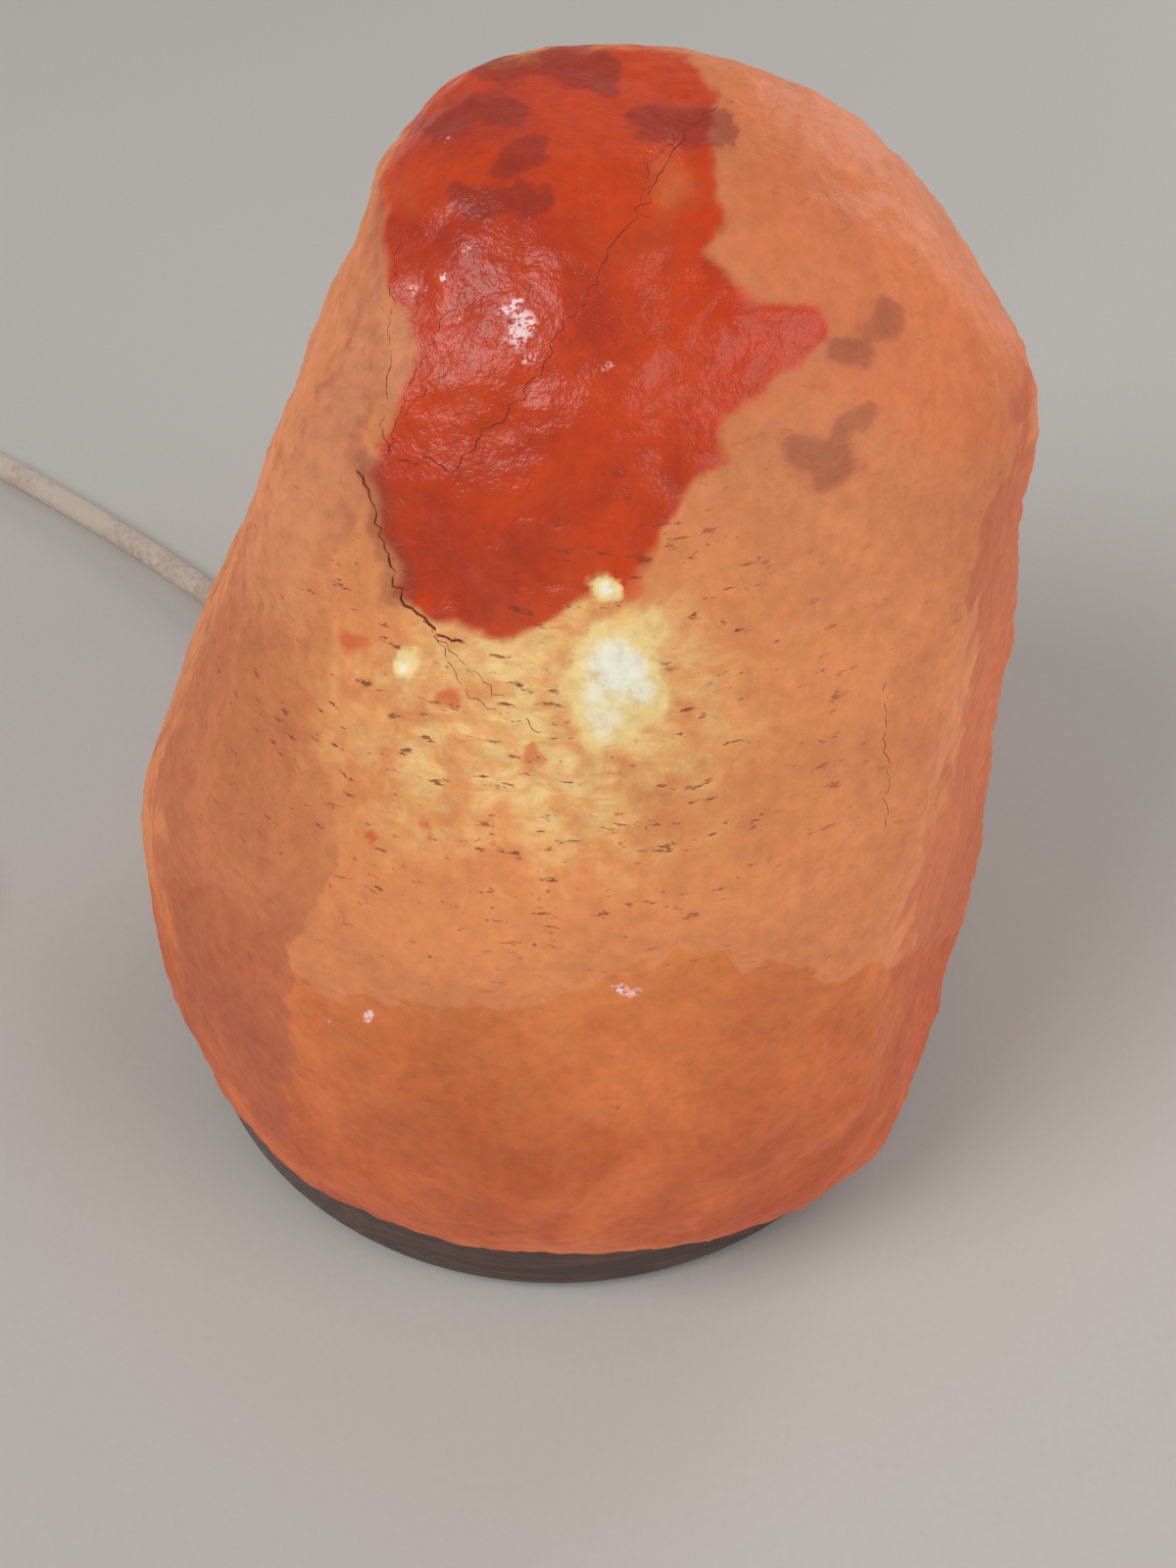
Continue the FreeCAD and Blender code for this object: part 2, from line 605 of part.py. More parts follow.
# --------------------------------------------------------------------- bulb
def bulb_contact():
    """Rounded solder tip under the bulb."""
    tip = rod(BULB_TIP_RADIUS, BULB_BOTTOM, BULB_BOTTOM + BULB_TIP_HEIGHT)
    return tip.makeFillet(BULB_TIP_HEIGHT * 0.7, edges_at(tip, BULB_BOTTOM))


def bulb_insulator():
    """Black glass cone between the tip and the screw cap."""
    low = BULB_BOTTOM + BULB_TIP_HEIGHT
    return Part.makeCone(BULB_TIP_RADIUS + 0.6, BULB_CAP_RADIUS - 0.6,
                         BULB_INSULATOR_HEIGHT, Vector(0, 0, low), UP)


def bulb_cap():
    """Thin plated screw cap with a flared skirt, open at the top."""
    wall = BULB_CAP_WALL
    flare = BULB_CAP_TOP - 3.0
    outside = [(BULB_CAP_RADIUS - 0.6, BULB_CAP_BOTTOM), (BULB_CAP_RADIUS, BULB_CAP_BOTTOM + 1.0),
               (BULB_CAP_RADIUS, flare), (BULB_SKIRT_RADIUS, BULB_CAP_TOP)]
    inside = [(BULB_SKIRT_RADIUS - wall, BULB_CAP_TOP), (BULB_CAP_RADIUS - wall, flare),
              (BULB_CAP_RADIUS - wall, BULB_CAP_BOTTOM + 1.0), (0, BULB_CAP_BOTTOM + 1.0),
              (0, BULB_CAP_BOTTOM)]
    return turned(outside + inside)


def glass_outline(offset):
    """Half outline of the bulb's glass, moved inwards by an offset."""
    neck = BULB_GLASS_NECK - offset
    wide = BULB_GLASS_RADIUS - offset
    low = BULB_CAP_TOP - 2.0
    shoulder = BULB_CAP_TOP + BULB_GLASS_RADIUS * 0.6
    crown = BULB_CAP_TOP + BULB_GLASS_HEIGHT - BULB_GLASS_RADIUS
    start, bend = Vector(neck, 0, low), Vector(neck, 0, BULB_CAP_TOP + 0.6)
    side, turn = Vector(wide, 0, shoulder), Vector(wide, 0, crown)
    top = Vector(0, 0, crown + wide)
    middle = Vector(wide * math.cos(math.pi / 4), 0, crown + wide * math.sin(math.pi / 4))
    lip = Vector(neck + (wide - neck) * 0.75, 0, bend.z + (shoulder - bend.z) * 0.42)
    return [Part.LineSegment(start, bend).toShape(), Part.Arc(bend, lip, side).toShape(),
            Part.LineSegment(side, turn).toShape(), Part.Arc(turn, middle, top).toShape()], start, top


def bulb_glass():
    """Clear tubular glass with a round crown, open at its neck."""
    outer, outer_low, outer_top = glass_outline(0)
    inner, inner_low, inner_top = glass_outline(BULB_GLASS_WALL)
    edges = outer + [Part.LineSegment(outer_top, inner_top).toShape()] + inner
    edges.append(Part.LineSegment(inner_low, outer_low).toShape())
    face = Part.Face(Part.Wire(Part.__sortEdges__(edges)))
    return face.revolve(ORIGIN, UP, 360)


def bulb_stem():
    """Glass mount that carries the filament's wires."""
    low = BULB_CAP_TOP - 2.0
    flare = Part.makeCone(BULB_GLASS_NECK - BULB_GLASS_WALL - FIT_GAP, BULB_STEM_RADIUS, 3.0,
                          Vector(0, 0, low), UP)
    post = rod(BULB_STEM_RADIUS, low + 3.0, low + BULB_STEM_HEIGHT - BULB_STEM_RADIUS)
    crown = Part.makeSphere(BULB_STEM_RADIUS, Vector(0, 0, low + BULB_STEM_HEIGHT - BULB_STEM_RADIUS))
    return flare.fuse([post, crown]).removeSplitter()


def filament_level():
    """Height of the filament."""
    return BULB_CAP_TOP + BULB_GLASS_HEIGHT * 0.6


def filament_leads():
    """Two wires from the stem out to the ends of the filament."""
    leads = []
    low = BULB_CAP_TOP - 2.0 + BULB_STEM_HEIGHT - BULB_STEM_RADIUS
    for side in (-1, 1):
        start = Vector(side * (BULB_STEM_RADIUS + LEAD_WIRE_RADIUS + FIT_GAP), 0, low)
        end = Vector(side * FILAMENT_SPAN / 2, 0, filament_level())
        line = end - start
        leads.append(Part.makeCylinder(LEAD_WIRE_RADIUS, line.Length, start, line))
    return Part.makeCompound(leads)


def bulb_filament():
    """Filament, bowed up between its wires."""
    half = FILAMENT_SPAN / 2 - LEAD_WIRE_RADIUS - FILAMENT_RADIUS
    level = filament_level()
    ends = [Vector(-half, 0, level), Vector(half, 0, level)]
    bow = Part.Arc(ends[0], Vector(0, 0, level + half * 0.5), ends[1])
    path = Part.Wire(bow.toShape())
    ring = Part.Wire(Part.makeCircle(FILAMENT_RADIUS, ends[0], bow.tangent(bow.FirstParameter)[0]))
    return path.makePipeShell([ring], True, False)


# --------------------------------------------------------------------- cord
def corner_radius(before, corner, after):
    """Largest even bend at a corner, and its tangent length."""
    first, second = corner - before, after - corner
    turn = first.getAngle(second)
    tangent = 0.45 * min(first.Length, second.Length)
    return tangent / math.tan(turn / 2), tangent


def rounded_path(name, points):
    """Straight runs joined by tangent arcs through a list of points."""
    edges, radii = [], []
    start = points[0]
    for before, corner, after in zip(points, points[1:], points[2:]):
        radius, tangent = corner_radius(before, corner, after)
        radii.append(radius)
        into = (corner - before).normalize()
        out = (after - corner).normalize()
        begin, end = corner - into * tangent, corner + out * tangent
        bisector = (out - into).normalize()
        reach = math.hypot(radius, tangent) - radius
        edges.append(Part.LineSegment(start, begin).toShape())
        edges.append(Part.Arc(begin, corner + bisector * reach, end).toShape())
        start = end
    edges.append(Part.LineSegment(start, points[-1]).toShape())
    print("%-18s bend radii %s" % (name, [round(radius) for radius in radii]))
    return Part.Wire(edges)


def cord_tube(name, path, points):
    """Round cord along a path, with its volume held against its length."""
    heading = points[1] - points[0]
    ring = Part.Wire(Part.makeCircle(CORD_RADIUS, points[0], heading))
    solid = path.makePipeShell([ring], True, False)
    share = solid.Volume / (math.pi * CORD_RADIUS ** 2 * path.Length)
    print("%-18s length %.0f mm, volume share %.4f" % (name, path.Length, share))
    return solid


def cord(name, points):
    """Free cord through chosen points."""
    return cord_tube(name, rounded_path(name, points), points)


def inner_cord():
    """Cord from the edge of the base up through the nipple to the cord grip."""
    outside = polar(BASE_RADIUS - CORD_END_GAP, CORD_EXIT_ANGLE, CORD_LEVEL)
    bend_start = polar(CORD_BEND, CORD_EXIT_ANGLE, CORD_LEVEL)
    bend_end = Vector(0, 0, CORD_LEVEL + CORD_BEND)
    middle = polar(CORD_BEND * (1 - math.sin(math.pi / 4)), CORD_EXIT_ANGLE,
                   CORD_LEVEL + CORD_BEND * (1 - math.cos(math.pi / 4)))
    path = Part.Wire([Part.LineSegment(outside, bend_start).toShape(),
                      Part.Arc(bend_start, middle, bend_end).toShape(),
                      Part.LineSegment(bend_end, Vector(0, 0, CORD_END_LEVEL)).toShape()])
    return cord_tube("inner_cord", path, [outside, bend_start])


def coil_stations():
    """Points and headings at each quarter turn of the coil's two layers."""
    lower = int(4 * COIL_LOWER_TURNS)
    upper = int(4 * COIL_UPPER_TURNS)
    level = CORD_RADIUS + 0.1
    stations = []
    for quarter in range(lower + 2 + upper + 1):
        inward = min(quarter, lower) / 4.0
        outward = max(quarter - lower - 2, 0) / 4.0
        radius = COIL_INNER_RADIUS + COIL_PITCH * (COIL_LOWER_TURNS - inward + outward)
        climb = min(max((quarter - lower) / 2.0, 0.0), 1.0)
        if 0 < climb < 1:
            radius -= COIL_CLIMB_TUCK
        angle = math.radians(180 + 90 * quarter)
        drift = 0.0
        if 0 < quarter < lower:
            drift = -COIL_PITCH / (2 * math.pi * radius)
        elif lower + 2 < quarter < lower + 2 + upper:
            drift = COIL_PITCH / (2 * math.pi * radius)
        slope = COIL_PITCH / (math.pi * COIL_INNER_RADIUS) * 1.5 if 0 < climb < 1 else 0.0
        out = Vector(math.cos(angle), math.sin(angle), 0)
        along = Vector(-math.sin(angle), math.cos(angle), 0)
        point = Vector(COIL_CENTRE[0], COIL_CENTRE[1], level + climb * COIL_PITCH) + out * radius
        stations.append((point, (along + out * drift + UP * slope).normalize()))
    return stations


def arc_from(start, heading, end):
    """Arc that leaves a point along a heading and ends at another point."""
    chord = end - start
    unit = Vector(chord).normalize()
    side = heading - unit * heading.dot(unit)
    angle = heading.getAngle(chord)
    if angle < 1e-5:
        return Part.LineSegment(start, end).toShape()
    rise = chord.Length / 2 * math.tan(angle / 2)
    return Part.Arc(start, (start + end) * 0.5 + side.normalize() * rise, end).toShape()


def biarc(start, heading, end, final):
    """Two tangent arcs between two points with given headings."""
    span = end - start
    both = heading + final
    square = 2 * (1 - heading.dot(final))
    reach = (-span.dot(both) + math.sqrt(span.dot(both) ** 2 + square * span.dot(span))) / square
    middle = (start + end + (heading - final) * reach) * 0.5
    first = arc_from(start, heading, middle)
    back = arc_from(end, final * -1, middle)
    return [first, back]


def coil_path():
    """One unbroken line: a straight end, the turns, and a straight end."""
    stations = coil_stations()
    edges = []
    start, heading = stations[0]
    lead = start - heading * CORD_DIAMETER
    edges.append(Part.LineSegment(lead, start).toShape())
    for (begin, first), (end, last) in zip(stations, stations[1:]):
        edges += biarc(begin, first, end, last)
    end, last = stations[-1]
    tail = end + last * CORD_DIAMETER
    edges.append(Part.LineSegment(end, tail).toShape())
    return Part.Wire(Part.__sortEdges__(edges)), lead, tail


def least_gap(path):
    """Smallest gap between parts of the coil that are not neighbours."""
    spacing = 3.0
    points = path.discretize(Distance=spacing)
    apart = int(6 * CORD_DIAMETER / spacing)
    nearest = min((first - second).Length for index, first in enumerate(points)
                  for second in points[index + apart:])
    return nearest - CORD_DIAMETER


def cord_coil():
    """Round coil of the cord that is put away, in two layers."""
    path, lead, tail = coil_path()
    start = coil_stations()[0][0]
    print("cord_coil          least gap %.2f mm" % least_gap(path))
    return cord_tube("cord_coil", path, [lead, start])



# ------------------------------------------------------------------- switch
def in_place(shape, centre, heading):
    """Shape moved from its own frame, with +X along the cord, to the table."""
    copy = shape.copy()
    copy.rotate(ORIGIN, UP, heading)
    copy.translate(Vector(centre[0], centre[1], 0))
    return copy


def switch_place(shape):
    """Piece of the switch moved to where it lies."""
    return in_place(shape, SWITCH_CENTRE, SWITCH_HEADING)


def rounded_block(inset, low, high):
    """Block with rounded ends in plan, set in from the switch's outside."""
    body = block(ORIGIN, SWITCH_LENGTH - 2 * inset, SWITCH_WIDTH - 2 * inset, low, high)
    upright = [edge for edge in body.Edges if edge.BoundBox.ZLength > (high - low) / 2]
    return body.makeFillet(SWITCH_END_RADIUS - inset, upright)


def rocker_reach():
    """Half the length of the opening that the rocker turns in."""
    return math.hypot(ROCKER_LENGTH / 2, ROCKER_END_HEIGHT) + SLIDE_GAP


def cord_entries():
    """Cylinder along the cord through both ends of the switch."""
    return Part.makeCylinder(CORD_RADIUS + FIT_GAP, SWITCH_LENGTH + 2,
                             Vector(-SWITCH_LENGTH / 2 - 1, 0, SWITCH_CORD_HEIGHT), Vector(1, 0, 0))


def switch_screw_spots():
    """Centres of the two screws that join the shells."""
    side = SWITCH_WIDTH / 2 - SWITCH_WALL - SWITCH_BOSS_RADIUS + SWITCH_BOSS_SINK
    return [Vector(SWITCH_SCREW_SPREAD, side, 0), Vector(-SWITCH_SCREW_SPREAD, -side, 0)]


def switch_base():
    """Lower shell, with a boss for each screw."""
    shell = rounded_block(0, 0, SWITCH_CORD_HEIGHT)
    shell = shell.makeFillet(SWITCH_EDGE_ROUND / 2, edges_at(shell, 0))
    shell = shell.cut(rounded_block(SWITCH_WALL, SWITCH_WALL, SWITCH_HEIGHT))
    for spot in switch_screw_spots():
        shell = shell.fuse(rod(SWITCH_BOSS_RADIUS, SWITCH_WALL / 2, SWITCH_CORD_HEIGHT, spot))
    for spot in switch_screw_spots():
        shell = shell.cut(rod(SWITCH_SCREW_RADIUS + FIT_GAP, -1, SWITCH_HEIGHT, spot))
        shell = shell.cut(rod(2 * SWITCH_SCREW_RADIUS + FIT_GAP, -1, SWITCH_WALL, spot))
    return shell.cut(cord_entries())


def switch_cover():
    """Upper shell, with the rocker's opening, its cheeks and screw bosses."""
    shell = rounded_block(0, SWITCH_CORD_HEIGHT, SWITCH_HEIGHT)
    shell = shell.makeFillet(SWITCH_EDGE_ROUND, edges_at(shell, SWITCH_HEIGHT))
    roof = SWITCH_HEIGHT - SWITCH_WALL
    shell = shell.cut(rounded_block(SWITCH_WALL, 0, roof))
    half = ROCKER_WIDTH / 2 + SLIDE_GAP
    for side in (-1, 1):
        centre = Vector(0, side * (half + SWITCH_WALL / 2), 0)
        shell = shell.fuse(block(centre, SWITCH_CHEEK_LENGTH, SWITCH_WALL,
                                 PIN_LEVEL - SWITCH_CHEEK_DROP, roof + JOIN_DEPTH))
    for spot in switch_screw_spots():
        shell = shell.fuse(rod(SWITCH_BOSS_RADIUS, SWITCH_CORD_HEIGHT, roof + JOIN_DEPTH, spot))
    shell = shell.cut(block(ORIGIN, 2 * rocker_reach(), 2 * half, SWITCH_CORD_HEIGHT,
                            SWITCH_HEIGHT + 1))
    shell = shell.cut(rocker_pin_rod(ROCKER_PIN_RADIUS + FIT_GAP, half + SWITCH_WALL))
    for spot in switch_screw_spots():
        shell = shell.cut(rod(SWITCH_SCREW_RADIUS + FIT_GAP, 0, SWITCH_SCREW_TOP + 1, spot))
    return shell.cut(cord_entries())


PIN_LEVEL = SWITCH_HEIGHT - ROCKER_PIN_DEPTH
SWITCH_SCREW_TOP = SWITCH_HEIGHT - SWITCH_WALL - 2.0


def rocker_pin_rod(radius, half):
    """Cylinder across the switch at the rocker's pin."""
    return Part.makeCylinder(radius, 2 * half, Vector(0, -half, PIN_LEVEL), Vector(0, 1, 0))


def rocker_tilted(shape):
    """Piece of the rocker turned from level to its rest, with the lamp on."""
    copy = shape.copy()
    copy.rotate(Vector(0, 0, PIN_LEVEL), Vector(0, 1, 0), ROCKER_TILT)
    return copy


def switch_rocker():
    """Rocker with a dished top, bored for its pin."""
    half = ROCKER_LENGTH / 2
    line = [(-half, ROCKER_END_HEIGHT), (0, ROCKER_DIP_HEIGHT), (half, ROCKER_END_HEIGHT),
            (half, 1.0), (half - 3.0, -ROCKER_DEPTH), (3.0 - half, -ROCKER_DEPTH), (-half, 1.0)]
    points = [Vector(x, -ROCKER_WIDTH / 2, PIN_LEVEL + z) for x, z in line]
    body = Part.Face(Part.makePolygon(points + points[:1])).extrude(Vector(0, ROCKER_WIDTH, 0))
    dip = [edge for edge in body.Edges if edge.BoundBox.YLength > ROCKER_WIDTH - 0.1
           and abs(edge.BoundBox.XMin) < 1e-4 and edge.BoundBox.ZMin > PIN_LEVEL]
    body = body.makeFillet(4 * ROCKER_LENGTH / 2, dip)
    return rocker_tilted(body.cut(rocker_pin_rod(ROCKER_PIN_RADIUS + FIT_GAP, ROCKER_WIDTH)))


def contact_bridge():
    """Brass strip under the rocker that joins the two contacts."""
    top = PIN_LEVEL - ROCKER_DEPTH
    return rocker_tilted(block(ORIGIN, ROCKER_LENGTH - 2 * BRIDGE_INSET, CONTACT_WIDTH,
                               top - BRIDGE_THICKNESS, top))


def switch_contacts():
    """Two brass contacts that stand on the floor under the bridge's ends."""
    dip = (ROCKER_LENGTH / 2 - BRIDGE_INSET) * math.sin(math.radians(ROCKER_TILT))
    drop = (ROCKER_DEPTH + BRIDGE_THICKNESS) * math.cos(math.radians(ROCKER_TILT))
    top = PIN_LEVEL - dip - drop - SLIDE_GAP
    contacts = []
    for side in (-1, 1):
        near = side * (ROCKER_LENGTH / 2 - 5.0)
        foot_strip = block(Vector(near + side * CONTACT_LENGTH / 2, 0, 0), CONTACT_LENGTH,
                           CONTACT_WIDTH, SWITCH_WALL, SWITCH_WALL + BRIDGE_THICKNESS)
        post = block(Vector(near + side * BRIDGE_THICKNESS / 2, 0, 0), BRIDGE_THICKNESS,
                     CONTACT_WIDTH, SWITCH_WALL, top)
        contacts.append(foot_strip.fuse(post).removeSplitter())
    return Part.makeCompound(contacts)


def switch_screws():
    """Countersunk screws through the lower shell into the cover."""
    screws = []
    for spot in switch_screw_spots():
        head = rod(2 * SWITCH_SCREW_RADIUS, SWITCH_WALL - 1.2, SWITCH_WALL, spot)
        screws.append(head.fuse(rod(SWITCH_SCREW_RADIUS, SWITCH_WALL, SWITCH_SCREW_TOP, spot)))
    return Part.makeCompound(screws)


def cord_clamps():
    """Saddles that hold both ends of the cord inside the switch."""
    clamps = []
    for side in (-1, 1):
        centre = Vector(side * (CLAMP_END - CLAMP_LENGTH / 2), 0, 0)
        saddle = block(centre, CLAMP_LENGTH, CORD_DIAMETER + 4.0, SWITCH_WALL,
                       SWITCH_CORD_HEIGHT + CORD_RADIUS + 1.6)
        clamps.append(saddle.cut(cord_entries()))
    return Part.makeCompound(clamps)


CLAMP_END = SWITCH_LENGTH / 2 - SWITCH_WALL - SLIDE_GAP


def switch_end(side, inset):
    """Point on the cord's middle at one end of the switch."""
    local = Vector(side * (SWITCH_LENGTH / 2 - inset), 0, 0)
    angle = math.radians(SWITCH_HEADING)
    return Vector(SWITCH_CENTRE[0] + local.x * math.cos(angle),
                  SWITCH_CENTRE[1] + local.x * math.sin(angle), SWITCH_CORD_HEIGHT)


# --------------------------------------------------------------------- plug
PLUG_AXIS = PLUG_THICKNESS / 2
PIN_START = RELIEF_LENGTH + PLUG_LENGTH


def plug_place(shape):
    """Piece of the plug, drawn along +X from its relief, moved to its place."""
    return in_place(shape, PLUG_POINT, PLUG_HEADING)


def along_plug(radius, start, length, side=0.0):
    """Cylinder along the plug at one side of its axis."""
    return Part.makeCylinder(radius, length, Vector(start, side, PLUG_AXIS), Vector(1, 0, 0))


def plug_section(start, width, flat, thickness):
    """Flat hexagon across the plug."""
    half = thickness / 2
    line = [(width / 2, 0), (flat / 2, half), (-flat / 2, half),
            (-width / 2, 0), (-flat / 2, -half), (flat / 2, -half)]
    points = [Vector(start, y, PLUG_AXIS + z) for y, z in line]
    return Part.makePolygon(points + points[:1])


def pin_holes(radius):
    """Both pins' cylinders, from inside the body to their tips."""
    inside = 8.0
    return [along_plug(radius, PIN_START - inside, inside + PIN_LENGTH, side * PIN_SPACING / 2)
            for side in (-1, 1)]


def plug_body():
    """Flat moulded body that widens to a hexagonal face."""
    face = (PLUG_FACE_WIDTH, PLUG_FLAT_WIDTH, PLUG_THICKNESS)
    back = (PLUG_FACE_WIDTH * PLUG_BACK_SHARE, PLUG_FLAT_WIDTH * PLUG_BACK_SHARE,
            PLUG_BACK_THICKNESS)
    front = Part.makeLoft([plug_section(PIN_START - PLUG_FACE_LENGTH, *face),
                           plug_section(PIN_START, *face)], True, True)
    rear = Part.makeLoft([plug_section(RELIEF_LENGTH, *back),
                          plug_section(PIN_START - PLUG_FACE_LENGTH, *face)], True, True)
    body = front.fuse(rear)
    for hole in pin_holes(PIN_RADIUS):
        body = body.cut(hole)
    return body


def plug_pins():
    """Two brass pins with rounded tips."""
    pins = []
    for pin in pin_holes(PIN_RADIUS):
        tip = [edge for edge in pin.Edges if edge.BoundBox.XMin > PIN_START + PIN_LENGTH - 0.1]
        pins.append(pin.makeFillet(PIN_RADIUS * 0.6, tip))
    necks = [along_plug(PIN_RADIUS + 1, PIN_START, PIN_SLEEVE_LENGTH, side * PIN_SPACING / 2).cut(
             along_plug(PIN_RADIUS - PIN_SLEEVE_THICKNESS, PIN_START - 1, PIN_SLEEVE_LENGTH + 2,
                        side * PIN_SPACING / 2)) for side in (-1, 1)]
    return Part.makeCompound([pin.cut(neck) for pin, neck in zip(pins, necks)])


def pin_sleeves():
    """Insulating sleeves let into the pins next to the face."""
    sleeves = []
    for side in (-1, 1):
        outer = along_plug(PIN_RADIUS, PIN_START, PIN_SLEEVE_LENGTH, side * PIN_SPACING / 2)
        bore = along_plug(PIN_RADIUS - PIN_SLEEVE_THICKNESS, PIN_START - 1,
                          PIN_SLEEVE_LENGTH + 2, side * PIN_SPACING / 2)
        sleeves.append(outer.cut(bore))
    return Part.makeCompound(sleeves)


def plug_relief():
    """Tapered strain relief with grooves round it."""
    cone = Part.makeCone(RELIEF_END_RADIUS, RELIEF_RADIUS, RELIEF_LENGTH,
                         Vector(0, 0, PLUG_AXIS), Vector(1, 0, 0))
    pitch = RELIEF_LENGTH / (RELIEF_RIB_COUNT + 2)
    for rib in range(RELIEF_RIB_COUNT):
        start = pitch * (rib + 0.8)
        surface = RELIEF_END_RADIUS + (RELIEF_RADIUS - RELIEF_END_RADIUS) * start / RELIEF_LENGTH
        ring = along_plug(RELIEF_RADIUS + 2, start, pitch * 0.4).cut(
            along_plug(surface - RELIEF_GROOVE_DEPTH, start - 1, pitch * 0.4 + 2))
        cone = cone.cut(ring)
    return cone.cut(along_plug(CORD_RADIUS + FIT_GAP, -1, RELIEF_LENGTH / 2 + 1))


def plug_entry(depth):
    """Point on the cord's middle inside the strain relief."""
    angle = math.radians(PLUG_HEADING)
    return Vector(PLUG_POINT[0] + depth * math.cos(angle),
                  PLUG_POINT[1] + depth * math.sin(angle), PLUG_AXIS)


# -------------------------------------------------------------------- write
def cord_runs():
    """The three free stretches of the cord and its coil."""
    exit_point = polar(BASE_RADIUS, CORD_EXIT_ANGLE, CORD_LEVEL)
    lead = [exit_point] + [Vector(*point) for point in CORD_ON_TABLE]
    lead += [switch_end(-1, 0), switch_end(-1, SWITCH_WALL + CLAMP_LENGTH)]
    path, coil_start, coil_end = coil_path()
    link = [switch_end(1, SWITCH_WALL + CLAMP_LENGTH), switch_end(1, 0)]
    link += [Vector(*point) for point in CORD_TO_COIL] + [coil_start]
    tail = [coil_end] + [Vector(*point) for point in CORD_TO_PLUG]
    tail += [plug_entry(0), plug_entry(RELIEF_LENGTH / 2)]
    save("cord_to_switch", cord("cord_to_switch", lead))
    save("cord_to_coil", cord("cord_to_coil", link))
    save("cord_coil", cord_coil())
    save("cord_to_plug", cord("cord_to_plug", tail))


def main():
    """Build and write every sub-part."""
    os.makedirs("parts", exist_ok=True)
    save("salt_crystal", salt_crystal())
    save("wooden_base", wooden_base())
    for index in range(FOOT_COUNT):
        save("foot_%d" % (index + 1), foot(index))
    lamp = (base_screws, screw_sleeves, spring_clip, nipple, nipple_nut, holder_cap,
            holder_body, holder_insert, terminal_blocks, terminal_screws, screw_shell,
            centre_contact, cord_grip, grip_screw, inner_cord, bulb_contact,
            bulb_insulator, bulb_cap, bulb_glass, bulb_stem, filament_leads, bulb_filament)
    for maker in lamp:
        save(maker.__name__, maker())
    save("live_core", core(-1))
    save("neutral_core", core(1))
    switch = (switch_base, switch_cover, switch_rocker, contact_bridge, switch_contacts,
              switch_screws, cord_clamps)
    for maker in switch:
        save(maker.__name__, switch_place(maker()))
    save("rocker_pin", switch_place(rocker_pin_rod(
        ROCKER_PIN_RADIUS, ROCKER_WIDTH / 2 + SLIDE_GAP + SWITCH_WALL)))
    for maker in (plug_body, plug_pins, pin_sleeves, plug_relief):
        save(maker.__name__, plug_place(maker()))
    cord_runs()


if __name__ == "__main__":
    main()
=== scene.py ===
"""Salt crystal lamp: a glowing block of rock salt on a turned wooden foot.

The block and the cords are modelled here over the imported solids, and every other solid is dressed
where it stands. All lengths are in metres, with the table at z = 0.
"""

import json
import logging
import math
from dataclasses import dataclass, field
from enum import Enum
from typing import Iterable, Sequence

import bmesh
import bpy
import numpy as np
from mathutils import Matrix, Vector, noise
from mathutils.bvhtree import BVHTree

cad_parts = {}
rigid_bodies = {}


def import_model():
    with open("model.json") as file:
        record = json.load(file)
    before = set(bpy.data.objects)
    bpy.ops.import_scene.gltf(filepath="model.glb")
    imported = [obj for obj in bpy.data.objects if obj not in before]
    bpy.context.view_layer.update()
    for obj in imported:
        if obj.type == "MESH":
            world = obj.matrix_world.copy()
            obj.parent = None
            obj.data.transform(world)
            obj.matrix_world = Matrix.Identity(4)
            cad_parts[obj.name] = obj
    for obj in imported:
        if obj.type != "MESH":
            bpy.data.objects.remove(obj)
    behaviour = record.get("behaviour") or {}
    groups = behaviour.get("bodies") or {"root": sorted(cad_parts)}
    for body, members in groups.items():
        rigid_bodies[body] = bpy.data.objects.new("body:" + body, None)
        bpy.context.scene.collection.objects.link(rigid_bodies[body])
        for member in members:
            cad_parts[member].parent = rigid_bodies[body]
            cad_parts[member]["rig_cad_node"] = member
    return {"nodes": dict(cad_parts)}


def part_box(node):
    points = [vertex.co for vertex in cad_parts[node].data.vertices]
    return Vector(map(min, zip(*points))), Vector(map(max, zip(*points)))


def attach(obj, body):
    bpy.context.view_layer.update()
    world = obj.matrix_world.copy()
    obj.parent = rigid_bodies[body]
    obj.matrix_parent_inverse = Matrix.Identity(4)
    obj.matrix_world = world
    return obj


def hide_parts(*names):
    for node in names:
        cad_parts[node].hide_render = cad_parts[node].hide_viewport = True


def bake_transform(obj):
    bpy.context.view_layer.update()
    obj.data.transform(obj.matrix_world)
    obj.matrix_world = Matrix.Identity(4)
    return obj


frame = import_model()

log = logging.getLogger("salt_lamp")

Colour = tuple[float, float, float]
Point = tuple[float, float, float]
Pixel = tuple[float, float]

MM = 0.001


def linear(red: int, green: int, blue: int) -> Colour:
    """Turns a colour as it is seen on screen into linear light.

    Args:
        red: Red, from 0 to 255.
        green: Green, from 0 to 255.
        blue: Blue, from 0 to 255.

    Returns:
        The three linear values, from 0 to 1.
    """
    def channel(value: int) -> float:
        """Linear value of one channel."""
        share = value / 255
        return share / 12.92 if share <= 0.04045 else ((share + 0.055) / 1.055) ** 2.4

    return channel(red), channel(green), channel(blue)


def metres(points: Iterable[Sequence[float]]) -> list[Point]:
    """Turns points in millimetres into points in metres.

    Args:
        points: Points in millimetres.

    Returns:
        The same points in metres.
    """
    return [tuple(value * MM for value in point) for point in points]


